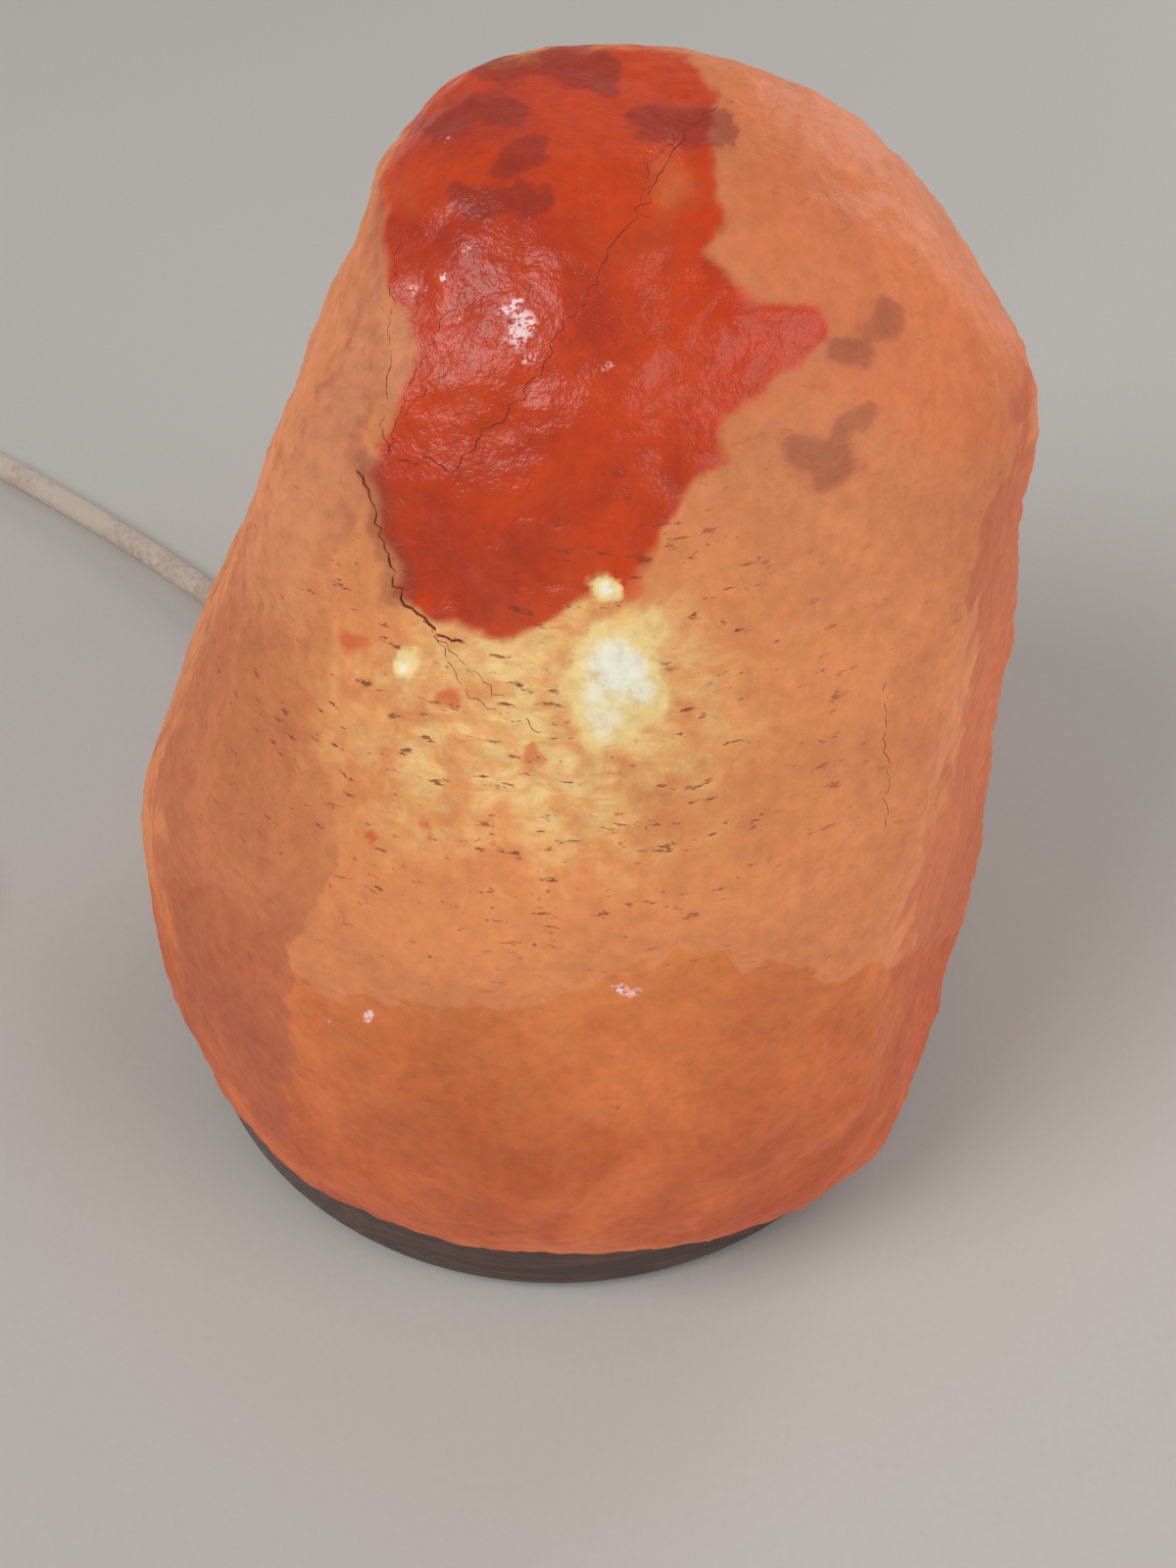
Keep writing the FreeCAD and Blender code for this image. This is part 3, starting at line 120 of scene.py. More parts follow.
# ------------------------------------------------------------------ materials
class Graph:
    """Node tree of one material, built socket by socket."""

    MIX_SHARE = 0      # the colour sockets of a Mix node
    MIX_FIRST = 6
    MIX_SECOND = 7
    MIX_RESULT = 2

    def __init__(self, name: str) -> None:
        """Starts an empty material with one Principled shader.

        Args:
            name: Name of the material.
        """
        self.material = bpy.data.materials.new(name)
        self.material.use_nodes = True
        self.tree = self.material.node_tree
        self.tree.nodes.clear()
        self.output = self.add("ShaderNodeOutputMaterial")
        self.shader = self.add("ShaderNodeBsdfPrincipled")
        self.link(self.shader.outputs["BSDF"], self.output.inputs["Surface"])

    def add(self, kind: str, **settings: object) -> bpy.types.Node:
        """Adds a node.

        Args:
            kind: Blender's name for the kind of node.
            **settings: Properties of the node.

        Returns:
            The new node.
        """
        node = self.tree.nodes.new(kind)
        for name, value in settings.items():
            setattr(node, name, value)
        return node

    def link(self, source: bpy.types.NodeSocket, target: bpy.types.NodeSocket) -> None:
        """Joins two sockets."""
        self.tree.links.new(source, target)

    def feed(self, target: bpy.types.NodeSocket, value: object) -> None:
        """Gives a socket a fixed value, or joins it to another node's output.

        Args:
            target: The socket that takes the value.
            value: A number, a tuple or an output socket.
        """
        if isinstance(value, bpy.types.NodeSocket):
            self.link(value, target)
        elif isinstance(value, tuple) and len(value) == 3 and target.type == "RGBA":
            target.default_value = (*value, 1.0)
        else:
            target.default_value = value

    def place(self, scale: Point = (1.0, 1.0, 1.0),
              turn: Point = (0.0, 0.0, 0.0)) -> bpy.types.NodeSocket:
        """Object coordinates, turned and stretched.

        Args:
            scale: Stretch along the three axes.
            turn: Turn about the three axes, in radians.

        Returns:
            The vector output.
        """
        source = self.add("ShaderNodeTexCoord")
        mapping = self.add("ShaderNodeMapping")
        self.link(source.outputs["Object"], mapping.inputs["Vector"])
        mapping.inputs["Scale"].default_value = scale
        mapping.inputs["Rotation"].default_value = turn
        return mapping.outputs["Vector"]

    def noise(self, vector: bpy.types.NodeSocket, scale: float, detail: float = 4.0,
              roughness: float = 0.5, distortion: float = 0.0) -> bpy.types.NodeSocket:
        """Value of a noise pattern.

        Args:
            vector: Where the pattern is read.
            scale: Patches per metre.
            detail: Number of finer layers.
            roughness: Weight of the finer layers.
            distortion: How far the pattern is stirred.

        Returns:
            The value output, about 0 to 1.
        """
        node = self.add("ShaderNodeTexNoise")
        self.link(vector, node.inputs["Vector"])
        node.inputs["Scale"].default_value = scale
        node.inputs["Detail"].default_value = detail
        node.inputs["Roughness"].default_value = roughness
        node.inputs["Distortion"].default_value = distortion
        return node.outputs["Fac"]

    def cells(self, vector: bpy.types.NodeSocket, scale: float,
              feature: str = "F1") -> bpy.types.NodeSocket:
        """Distance value of a cell pattern.

        Args:
            vector: Where the pattern is read.
            scale: Cells per metre.
            feature: Which distance is given.

        Returns:
            The distance output.
        """
        node = self.add("ShaderNodeTexVoronoi", feature=feature)
        self.link(vector, node.inputs["Vector"])
        node.inputs["Scale"].default_value = scale
        return node.outputs["Distance"]

    def math(self, operation: str, first: object, second: object = 0.0) -> bpy.types.NodeSocket:
        """Result of a sum on one or two values.

        Args:
            operation: Name of the sum.
            first: First value or socket.
            second: Second value or socket.

        Returns:
            The result.
        """
        node = self.add("ShaderNodeMath", operation=operation)
        self.feed(node.inputs[0], first)
        self.feed(node.inputs[1], second)
        return node.outputs[0]

    def steps(self, value: bpy.types.NodeSocket, low: float, high: float,
              start: float = 0.0, end: float = 1.0) -> bpy.types.NodeSocket:
        """Smooth step of a value between two edges.

        Args:
            value: The value read.
            low: Where the step starts.
            high: Where the step ends.
            start: Result below the step.
            end: Result above the step.

        Returns:
            The stepped value.
        """
        node = self.add("ShaderNodeMapRange", interpolation_type="SMOOTHSTEP")
        self.link(value, node.inputs["Value"])
        node.inputs["From Min"].default_value = low
        node.inputs["From Max"].default_value = high
        node.inputs["To Min"].default_value = start
        node.inputs["To Max"].default_value = end
        return node.outputs["Result"]

    def mix(self, share: object, first: object, second: object,
            blend: str = "MIX") -> bpy.types.NodeSocket:
        """Blend of two colours.

        Args:
            share: How much of the second colour, from 0 to 1.
            first: First colour or socket.
            second: Second colour or socket.
            blend: How the two are blended.

        Returns:
            The colour output.
        """
        node = self.add("ShaderNodeMix", data_type="RGBA", blend_type=blend)
        self.feed(node.inputs[self.MIX_SHARE], share)
        self.feed(node.inputs[self.MIX_FIRST], first)
        self.feed(node.inputs[self.MIX_SECOND], second)
        return node.outputs[self.MIX_RESULT]

    def ramp(self, value: bpy.types.NodeSocket,
             stops: Sequence[tuple[float, Colour]]) -> bpy.types.NodeSocket:
        """Colour read from a row of stops.

        Args:
            value: Where the row is read, from 0 to 1.
            stops: Place and linear colour of each stop.

        Returns:
            The colour output.
        """
        node = self.add("ShaderNodeValToRGB")
        self.link(value, node.inputs["Fac"])
        row = node.color_ramp.elements
        while len(row) < len(stops):
            row.new(0.5)
        for element, (place, colour) in zip(row, stops):
            element.position = place
            element.color = (*colour, 1.0)
        return node.outputs["Color"]

    def painted(self, name: str) -> bpy.types.NodeSocket:
        """Value painted on the piece's own points.

        Args:
            name: Name of the attribute.

        Returns:
            The value output.
        """
        return self.add("ShaderNodeAttribute", attribute_name=name).outputs["Fac"]

    def bump(self, height: bpy.types.NodeSocket, distance: float,
             strength: float = 1.0, under: object = None) -> bpy.types.NodeSocket:
        """Surface relief from a height.

        Args:
            height: The height read, about 0 to 1.
            distance: Depth of the relief in metres.
            strength: How much of it is used.
            under: Relief that this one lies on.

        Returns:
            The normal output.
        """
        node = self.add("ShaderNodeBump")
        node.inputs["Strength"].default_value = strength
        node.inputs["Distance"].default_value = distance
        self.link(height, node.inputs["Height"])
        if under is not None:
            self.link(under, node.inputs["Normal"])
        return node.outputs["Normal"]

    def finish(self, **sockets: object) -> bpy.types.Material:
        """Sets the shader's sockets.

        Args:
            **sockets: Value or output for each socket, its name in lower case with underscores.

        Returns:
            The finished material.
        """
        for name, value in sockets.items():
            wanted = name.replace("_", " ").lower()
            for target in self.shader.inputs:
                if target.name.lower() == wanted:
                    self.feed(target, value)
                    break
            else:
                raise KeyError(f"the shader has no socket named {wanted}")
        return self.material


class Surface(Enum):
    """How a hard surface was made, which gives its fine relief."""

    DRAWN = "drawn"          # fine lines along the piece, as on wire and sheet
    TURNED = "turned"        # fine rings
    MOULDED = "moulded"      # faint orange peel
    GLAZED = "glazed"        # smooth with slow waves


@dataclass(frozen=True)
class HardFinish:
    """Finish of a metal, plastic, rubber or ceramic piece."""

    name: str
    colour: Colour
    worn: Colour
    roughness: float
    metallic: float = 0.0
    surface: Surface = Surface.MOULDED
    relief: float = 0.00003
    grain: float = 900.0
    coat: float = 0.0
    sheen: float = 0.0

    def pattern(self, graph: Graph) -> bpy.types.NodeSocket:
        """Relief pattern of the surface.

        Args:
            graph: The material's graph.

        Returns:
            The height of the relief.
        """
        if self.surface is Surface.DRAWN:
            return graph.noise(graph.place(scale=(1.0, 1.0, 0.06)), self.grain, 3.0, 0.6)
        if self.surface is Surface.TURNED:
            return graph.noise(graph.place(scale=(0.05, 0.05, 1.0)), self.grain, 3.0, 0.6)
        if self.surface is Surface.GLAZED:
            return graph.noise(graph.place(), self.grain / 6, 2.0, 0.4)
        return graph.noise(graph.place(), self.grain, 4.0, 0.55)

    def make(self) -> bpy.types.Material:
        """Builds the material.

        Returns:
            The material.
        """
        graph = Graph(self.name)
        broad = graph.noise(graph.place(), 60.0, 5.0, 0.6)
        fine = self.pattern(graph)
        wear = graph.steps(graph.math("MULTIPLY", broad, graph.math("ADD", fine, 0.4)), 0.40, 0.62)
        colour = graph.mix(wear, self.colour, self.worn)
        rough = graph.steps(broad, 0.2, 0.8, self.roughness * 0.8, min(self.roughness * 1.25, 1.0))
        return graph.finish(
            base_color=colour, metallic=self.metallic, roughness=rough,
            coat_weight=self.coat, coat_roughness=0.15, sheen_weight=self.sheen,
            normal=graph.bump(fine, self.relief))


@dataclass(frozen=True)
class DarkWood:
    """Stained and varnished wood with its grain along X."""

    name: str = "dark stained wood"
    dark: Colour = linear(40, 24, 20)
    light: Colour = linear(92, 58, 44)
    pore: Colour = linear(22, 13, 12)

    def make(self) -> bpy.types.Material:
        """Builds the material.

        Returns:
            The material.
        """
        graph = Graph(self.name)
        along = graph.place(scale=(0.09, 1.0, 0.8), turn=(0.0, 0.03, 0.12))
        waves = graph.noise(along, 26.0, 3.0, 0.5, 1.4)
        rings = graph.math("SINE", graph.math("MULTIPLY", waves, 46.0))
        rings = graph.steps(rings, -1.0, 1.0)
        fibres = graph.noise(graph.place(scale=(0.035, 1.0, 1.0)), 900.0, 4.0, 0.6)
        pores = graph.steps(graph.noise(graph.place(scale=(0.05, 1.0, 1.0)), 420.0, 3.0, 0.7),
                            0.62, 0.74)
        tone = graph.math("MULTIPLY", graph.math("ADD", rings, graph.math("MULTIPLY", fibres, 0.8)),
                          0.55)
        colour = graph.ramp(tone, ((0.1, self.dark), (0.55, self.light), (1.0, self.dark)))
        colour = graph.mix(graph.math("MULTIPLY", pores, 0.75), colour, self.pore)
        height = graph.math("SUBTRACT", fibres, graph.math("MULTIPLY", pores, 0.9))
        return graph.finish(
            base_color=colour, roughness=graph.steps(fibres, 0.2, 0.8, 0.36, 0.52),
            coat_weight=0.35, coat_roughness=0.22, normal=graph.bump(height, 0.00012, 0.8))


@dataclass(frozen=True)
class ClearGlass:
    """Clear blown glass of the bulb."""

    name: str = "clear bulb glass"

    def make(self) -> bpy.types.Material:
        """Builds the material.

        Returns:
            The material.
        """
        graph = Graph(self.name)
        waves = graph.noise(graph.place(scale=(1.0, 1.0, 0.4)), 90.0, 2.0, 0.4)
        return graph.finish(
            base_color=(0.98, 0.985, 0.97), roughness=graph.steps(waves, 0.3, 0.7, 0.0, 0.03),
            transmission_weight=1.0, ior=1.46, normal=graph.bump(waves, 0.00005, 0.4))


@dataclass(frozen=True)
class HotWire:
    """Glowing tungsten of the filament."""

    name: str = "glowing filament"
    colour: Colour = linear(255, 200, 120)

    def make(self) -> bpy.types.Material:
        """Builds the material.

        Returns:
            The material.
        """
        graph = Graph(self.name)
        turns = graph.noise(graph.place(scale=(1.0, 0.2, 0.2)), 2500.0, 2.0, 0.5)
        glow = graph.mix(graph.steps(turns, 0.3, 0.7), self.colour, linear(255, 236, 190))
        return graph.finish(
            base_color=(0.1, 0.09, 0.08), metallic=1.0, roughness=0.5,
            emission_color=glow, emission_strength=6.0, normal=graph.bump(turns, 0.00005))


FINISHES: dict[str, HardFinish | DarkWood | ClearGlass | HotWire] = {
    "dark_wood": DarkWood(),
    "black_rubber": HardFinish("black rubber", linear(28, 27, 27), linear(52, 50, 48), 0.72,
                               relief=0.00008, grain=1400.0, sheen=0.15),
    "zinc_steel": HardFinish("zinc plated steel", linear(178, 180, 182), linear(132, 132, 128), 0.34,
                             1.0, Surface.TURNED, 0.00002, 2200.0),
    "spring_steel": HardFinish("spring steel", linear(150, 151, 154), linear(108, 106, 104), 0.30,
                               1.0, Surface.DRAWN, 0.00002, 2600.0),
    "grey_nylon": HardFinish("grey nylon", linear(120, 121, 122), linear(142, 142, 140), 0.55,
                             relief=0.00003, grain=1200.0),
    "white_bakelite": HardFinish("white bakelite", linear(232, 228, 216), linear(214, 206, 188), 0.32,
                                 surface=Surface.GLAZED, relief=0.00006, coat=0.3),
    "white_ceramic": HardFinish("white ceramic", linear(228, 224, 214), linear(206, 200, 188), 0.42,
                                surface=Surface.GLAZED, relief=0.0001, coat=0.4),
    "contact_brass": HardFinish("contact brass", linear(212, 176, 98), linear(166, 128, 66), 0.30,
                                1.0, Surface.DRAWN, 0.00002, 2200.0),
    "black_glass": HardFinish("black glass", linear(16, 15, 18), linear(38, 34, 40), 0.12,
                              surface=Surface.GLAZED, relief=0.00005, coat=0.5),
    "nickel_cap": HardFinish("nickel plated brass", linear(196, 192, 184), linear(150, 144, 134), 0.26,
                             1.0, Surface.TURNED, 0.00002, 1800.0),
    "bulb_glass": ClearGlass(),
    "filament": HotWire(),
    "brown_core": HardFinish("brown core", linear(98, 60, 38), linear(118, 76, 50), 0.45,
                             relief=0.00003, grain=1600.0),
    "blue_core": HardFinish("blue core", linear(38, 86, 152), linear(60, 106, 168), 0.45,
                            relief=0.00003, grain=1600.0),
    "cord_sheath": HardFinish("pale cord sheath", linear(216, 200, 186), linear(196, 176, 160), 0.44,
                              relief=0.00006, grain=700.0, coat=0.1),
    "switch_plastic": HardFinish("pale switch plastic", linear(222, 214, 200), linear(204, 194, 178),
                                 0.38, relief=0.00005, grain=1100.0),
    "rocker_plastic": HardFinish("pale rocker plastic", linear(230, 224, 212), linear(210, 202, 188),
                                 0.30, relief=0.00002, grain=1100.0),
    "plug_pvc": HardFinish("pale plug plastic", linear(218, 206, 192), linear(198, 184, 168), 0.46,
                           relief=0.00006, grain=900.0),
    "nickel_pin": HardFinish("nickel plated pin", linear(198, 195, 188), linear(156, 150, 142), 0.24,
                             1.0, Surface.DRAWN, 0.00002, 2400.0),
    "black_nylon": HardFinish("black nylon", linear(34, 33, 35), linear(56, 54, 54), 0.5,
                              relief=0.00003, grain=1200.0),
}


# --------------------------------------------------------------------- studio
@dataclass
class Viewpoint:
    """Camera that looks down on the lamp from the front."""

    place: Point = (0.0057, -0.2362, 0.3209)
    dip: float = math.radians(48.0)      # below level
    lens: float = 45.0
    sensor: float = 36.0                 # along the frame's height
    frame: tuple[int, int] = (1200, 1600)

    def build(self) -> bpy.types.Object:
        """Makes the scene's camera.

        Returns:
            The camera object.
        """
        data = bpy.data.cameras.new("viewpoint")
        data.lens = self.lens
        data.sensor_width = self.sensor
        data.clip_start = 0.01
        camera = bpy.data.objects.new("viewpoint", data)
        camera.location = self.place
        camera.rotation_euler = (math.pi / 2 - self.dip, 0.0, 0.0)
        bpy.context.scene.collection.objects.link(camera)
        bpy.context.scene.camera = camera
        return camera

    def seen_at(self, points: np.ndarray) -> np.ndarray:
        """Where points in space are seen in the frame.

        Args:
            points: Array of points, one a row.

        Returns:
            Array of pixels, across and down, one a row.
        """
        offset = points - np.array(self.place)
        ahead = offset @ np.array((0.0, math.cos(self.dip), -math.sin(self.dip)))
        up = offset @ np.array((0.0, math.sin(self.dip), math.cos(self.dip)))
        width, height = self.frame
        reach = self.lens / self.sensor * height
        return np.stack((width / 2 + reach * offset[:, 0] / ahead,
                         height / 2 - reach * up / ahead), axis=1)

    def ray(self, pixel: Pixel) -> Vector:
        """Direction in which a pixel is seen.

        Args:
            pixel: Place in the frame, across and down.

        Returns:
            The direction, of length one.
        """
        width, height = self.frame
        reach = self.lens / self.sensor * height
        across = (pixel[0] - width / 2) / reach
        up = (height / 2 - pixel[1]) / reach
        ahead = Vector((0.0, math.cos(self.dip), -math.sin(self.dip)))
        rise = Vector((0.0, math.sin(self.dip), math.cos(self.dip)))
        return (ahead + Vector((across, 0.0, 0.0)) + rise * up).normalized()


@dataclass
class Softbox:
    """One soft lamp of the studio."""

    name: str
    place: Point
    aim: Point
    size: float
    power: float
    colour: Colour = (1.0, 1.0, 1.0)

    def build(self) -> None:
        """Makes the lamp."""
        data = bpy.data.lights.new(self.name, "AREA")
        data.shape = "DISK"
        data.size = self.size
        data.energy = self.power
        data.color = self.colour
        lamp = bpy.data.objects.new(self.name, data)
        lamp.location = self.place
        facing = Vector(self.aim) - Vector(self.place)
        lamp.rotation_euler = facing.to_track_quat("-Z", "Y").to_euler()
        bpy.context.scene.collection.objects.link(lamp)


@dataclass
class Studio:
    """Pale floor, even sky and soft lamps."""

    floor_tone: Colour = linear(206, 203, 198)
    sky_tone: Colour = linear(214, 214, 212)
    sky_level: float = 0.36
    reach: float = 4.0
    lamps: list[Softbox] = field(default_factory=lambda: [
        Softbox("key lamp", (-0.75, -0.55, 1.15), (0.0, 0.0, 0.08), 0.7, 9.0),
        Softbox("fill lamp", (0.95, -0.6, 0.8), (0.0, 0.0, 0.08), 0.9, 5.0),
        Softbox("back lamp", (0.75, 0.95, 0.55), (0.0, 0.0, 0.1), 0.8, 4.0),
    ])

    def floor_material(self) -> bpy.types.Material:
        """Matt pale material of the floor.

        Returns:
            The material.
        """
        graph = Graph("pale floor")
        cloth = graph.noise(graph.place(), 700.0, 3.0, 0.6)
        tone = graph.mix(graph.steps(cloth, 0.2, 0.8), self.floor_tone,
                         tuple(value * 0.97 for value in self.floor_tone))
        return graph.finish(base_color=tone, roughness=0.9, specular_ior_level=0.2,
                            normal=graph.bump(cloth, 0.00008, 0.5))

    def build(self) -> None:
        """Makes the floor, the sky and the lamps."""
        shape = bmesh.new()
        bmesh.ops.create_grid(shape, x_segments=1, y_segments=1, size=self.reach)
        data = bpy.data.meshes.new("floor")
        shape.to_mesh(data)
        shape.free()
        floor = bpy.data.objects.new("floor", data)
        bpy.context.scene.collection.objects.link(floor)
        data.materials.append(self.floor_material())
        world = bpy.data.worlds.new("studio sky")
        world.use_nodes = True
        background = world.node_tree.nodes["Background"]
        background.inputs["Color"].default_value = (*self.sky_tone, 1.0)
        background.inputs["Strength"].default_value = self.sky_level
        bpy.context.scene.world = world
        bpy.context.scene.view_settings.view_transform = "Standard"
        for lamp in self.lamps:
            lamp.build()
        log.info("studio: floor, sky and %d lamps", len(self.lamps))


# --------------------------------------------------------------------- pieces
def dress(piece: bpy.types.Object, finish: str, materials: dict[str, bpy.types.Material]) -> None:
    """Gives a piece its material.

    Args:
        piece: The piece.
        finish: Name of the finish.
        materials: The materials made so far, by finish.
    """
    if not piece.material_slots:
        piece.data.materials.append(None)
    for slot in piece.material_slots:
        slot.material = materials[finish]


def put(name: str, data: bpy.types.ID, body: str) -> bpy.types.Object:
    """Adds a piece to the scene on the body that it moves with.

    Args:
        name: Name of the piece.
        data: Its mesh or curve.
        body: The body it rides on.

    Returns:
        The new object.
    """
    piece = bpy.data.objects.new(name, data)
    bpy.context.scene.collection.objects.link(piece)
    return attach(piece, body)


def settled(shape: bmesh.types.BMesh, name: str, smooth_below: float = 35.0) -> bpy.types.Mesh:
    """Turns a bmesh into a mesh with its faces outward and smooth shading over shallow edges.

    Args:
        shape: The bmesh, which is freed.
        name: Name of the mesh.
        smooth_below: Angle in degrees under which an edge is shaded smooth.

    Returns:
        The mesh.
    """
    bmesh.ops.remove_doubles(shape, verts=shape.verts[:], dist=1e-7)
    bmesh.ops.recalc_face_normals(shape, faces=shape.faces[:])
    for face in shape.faces:
        face.smooth = True
    for edge in shape.edges:
        edge.smooth = edge.calc_face_angle(0.0) < math.radians(smooth_below)
    data = bpy.data.meshes.new(name)
    shape.to_mesh(data)
    shape.free()
    return data


# ---------------------------------------------------------------------- cords
@dataclass
class CordRun:
    """Cord as one smooth spline through the points of its route."""

    name: str
    route: list[Point]
    diameter: float = 0.006
    finish: str = "cord_sheath"

    def curve(self, bevelled: bool = True) -> bpy.types.Curve:
        """Makes the spline.

        Args:
            bevelled: Whether the curve is round, or only a line.

        Returns:
            The curve.
        """
        data = bpy.data.curves.new(self.name, "CURVE")
        data.dimensions = "3D"
        data.resolution_u = 8
        line = data.splines.new("NURBS")
        line.points.add(len(self.route) - 1)
        for point, place in zip(line.points, self.route):
            point.co = (*place, 1.0)
            point.radius = self.diameter / 2
        line.order_u = 3
        line.use_endpoint_u = True
        if bevelled:
            data.bevel_depth = 1.0       # times each point's radius, which holds the size
            data.bevel_resolution = 5
            data.use_fill_caps = True
        return data

    def build(self, body: str, materials: dict[str, bpy.types.Material]) -> bpy.types.Object:
        """Makes the cord as a curve piece.

        Args:
            body: The body it rides on.
            materials: The materials by finish.

        Returns:
            The cord.
        """
        piece = put(self.name, self.curve(), body)
        dress(piece, self.finish, materials)
        log.info("cord %s: %d route points", self.name, len(self.route))
        return piece


@dataclass
class Coil:
    """Flat coil of two layers that the spare length is wound into."""

    centre: tuple[float, float] = (-0.165, 0.006)
    inner: float = 0.024
    pitch: float = 0.0066
    low: float = 0.0031
    high: float = 0.0097
    lower_turns: float = 3.0
    upper_turns: float = 2.5
    tuck: float = 0.0018
    points_a_turn: int = 16

    def route(self) -> list[Point]:
        """Points along the coil, inward on the floor and outward on top.

        Returns:
            The points of the coil.
        """
        climb = 0.5
        whole = self.lower_turns + climb + self.upper_turns
        count = round(whole * self.points_a_turn)
        points = []
        for step in range(count + 1):
            turned = whole * step / count
            inward = min(turned, self.lower_turns)
            rising = min(max(turned - self.lower_turns, 0.0) / climb, 1.0)
            outward = max(turned - self.lower_turns - climb, 0.0)
            radius = self.inner + self.pitch * (self.lower_turns - inward + outward)
            radius -= self.tuck * math.sin(math.pi * rising)
            # control points of such a spline stand a little outside its line
            radius /= 1 - (math.pi / self.points_a_turn) ** 2 / 2
            angle = math.pi + 2 * math.pi * turned
            level = self.low + (self.high - self.low) * rising
            points.append((self.centre[0] + radius * math.cos(angle),
                           self.centre[1] + radius * math.sin(angle), level))
        return points


@dataclass
class MainsLead:
    """Cord from the lamp through its switch, and on through its coil to the plug."""

    body: str = "root"
    exit_of_lamp: Point = (-0.04015, 0.05734, 0.0070)
    exit_of_switch: Point = (-0.2100, 0.0678, 0.0080)
    to_switch: list[Point] = field(default_factory=lambda: metres([
        (-40.15, 57.34, 7.0), (-51.0, 72.0, 6.0), (-66.0, 91.5, 3.9), (-84.5, 111.0, 3.1),
        (-109.0, 132.5, 3.1), (-135.0, 152.5, 3.1), (-151.5, 164.5, 3.1), (-169.5, 171.5, 3.1),
        (-188.5, 169.5, 3.1), (-203.5, 158.0, 3.6), (-210.0, 141.0, 5.4), (-210.0, 122.0, 8.0),
        (-210.0, 114.2, 8.0)]))
    to_coil: list[Point] = field(default_factory=lambda: metres([
        (-210.0, 67.8, 8.0), (-210.0, 60.0, 8.0), (-210.4, 47.0, 6.6), (-209.6, 33.0, 4.0),
        (-208.8, 21.0, 3.1), (-208.8, 12.0, 3.1)]))
    coil: Coil = field(default_factory=Coil)
    to_plug: list[Point] = field(default_factory=lambda: metres([
        (-205.5, 0.0, 9.7), (-205.9, -13.0, 9.5), (-203.5, -28.5, 8.4), (-197.5, -43.5, 7.2),
        (-191.0, -57.0, 6.85), (-185.74, -67.79, 6.85)]))
    length_to_switch: float = 0.257
    length_to_plug: float = 1.359

    def build(self, materials: dict[str, bpy.types.Material]) -> None:
        """Args:
            materials: The materials by finish.
        """
        first = CordRun("lamp_lead", self.to_switch).build(self.body, materials)
        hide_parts("cord_to_switch")
        route = self.to_coil + self.coil.route() + self.to_plug
        second = CordRun("coiled_lead", route).build(self.body, materials)
        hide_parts("cord_to_coil", "cord_coil", "cord_to_plug")
        log.info("mains lead: switch and coil cords declared")


@dataclass
class HiddenLead:
    """Cord inside the foot, from the groove's mouth up through the nipple."""

    mouth: Point = (-0.04015, 0.05734, 0.0070)
    route: list[Point] = field(default_factory=lambda: metres([
        (-40.15, 57.34, 7.0), (-26.0, 37.1, 7.0), (-12.0, 17.1, 7.0), (-3.6, 5.2, 8.6),
        (-0.2, 0.3, 15.5), (0.0, 0.0, 27.0), (0.0, 0.0, 39.8)]))

    def build(self, materials: dict[str, bpy.types.Material]) -> None:
        """Makes the cord as a tube.

        Args:
            materials: The materials by finish.
        """
        line = bpy.data.objects.new("hidden_line", CordRun("hidden_line", self.route).curve())
        bpy.context.scene.collection.objects.link(line)
        bpy.context.view_layer.update()
        ready = line.evaluated_get(bpy.context.evaluated_depsgraph_get())
        data = bpy.data.meshes.new_from_object(ready)
        bpy.data.objects.remove(line)
        shape = bmesh.new()
        shape.from_mesh(data)
        bpy.data.meshes.remove(data)
        piece = bpy.data.objects.new("hidden_lead", settled(shape, "hidden_lead", 60.0))
        bpy.context.scene.collection.objects.link(piece)
        dress(piece, "cord_sheath", materials)
        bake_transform(piece)
        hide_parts("inner_cord")
        log.info("hidden lead: %d points in its route", len(self.route))


# ---------------------------------------------------------------- salt block
def from_outline(pixels: np.ndarray, outline: Sequence[Pixel]) -> np.ndarray:
    """Signed distance of pixels from a closed outline, positive inside.

    Args:
        pixels: Array of pixels, one a row.
        outline: Corners of the outline in order.

    Returns:
        The distance of each pixel, in pixels.
    """
    corners = np.array(outline, float)
    nearest = np.full(len(pixels), 1e9)
    inside = np.zeros(len(pixels), bool)
    for start, end in zip(corners, np.roll(corners, -1, axis=0)):
        nearest = np.minimum(nearest, from_run(pixels, start, end))
        crosses = (start[1] > pixels[:, 1]) != (end[1] > pixels[:, 1])
        drop = end[1] - start[1] if end[1] != start[1] else 1e-9
        where = start[0] + (pixels[:, 1] - start[1]) / drop * (end[0] - start[0])
        inside ^= crosses & (pixels[:, 0] < where)
    return np.where(inside, nearest, -nearest)


def from_run(points: np.ndarray, start: np.ndarray, end: np.ndarray) -> np.ndarray:
    """Distance of points from a straight run.

    Args:
        points: Array of points, one a row.
        start: Start of the run.
        end: End of the run.

    Returns:
        The distance of each point.
    """
    run = end - start
    share = np.clip((points - start) @ run / max(float(run @ run), 1e-12), 0.0, 1.0)
    return np.linalg.norm(points - start - share[:, None] * run, axis=1)


def from_stroke(points: np.ndarray, stroke: Sequence[Sequence[float]]) -> np.ndarray:
    """Distance of points from a line of several runs.

    Args:
        points: Array of points, one a row.
        stroke: Corners of the line in order.

    Returns:
        The distance of each point.
    """
    corners = np.array(stroke, float)
    return np.min([from_run(points, start, end) for start, end in zip(corners, corners[1:])], axis=0)


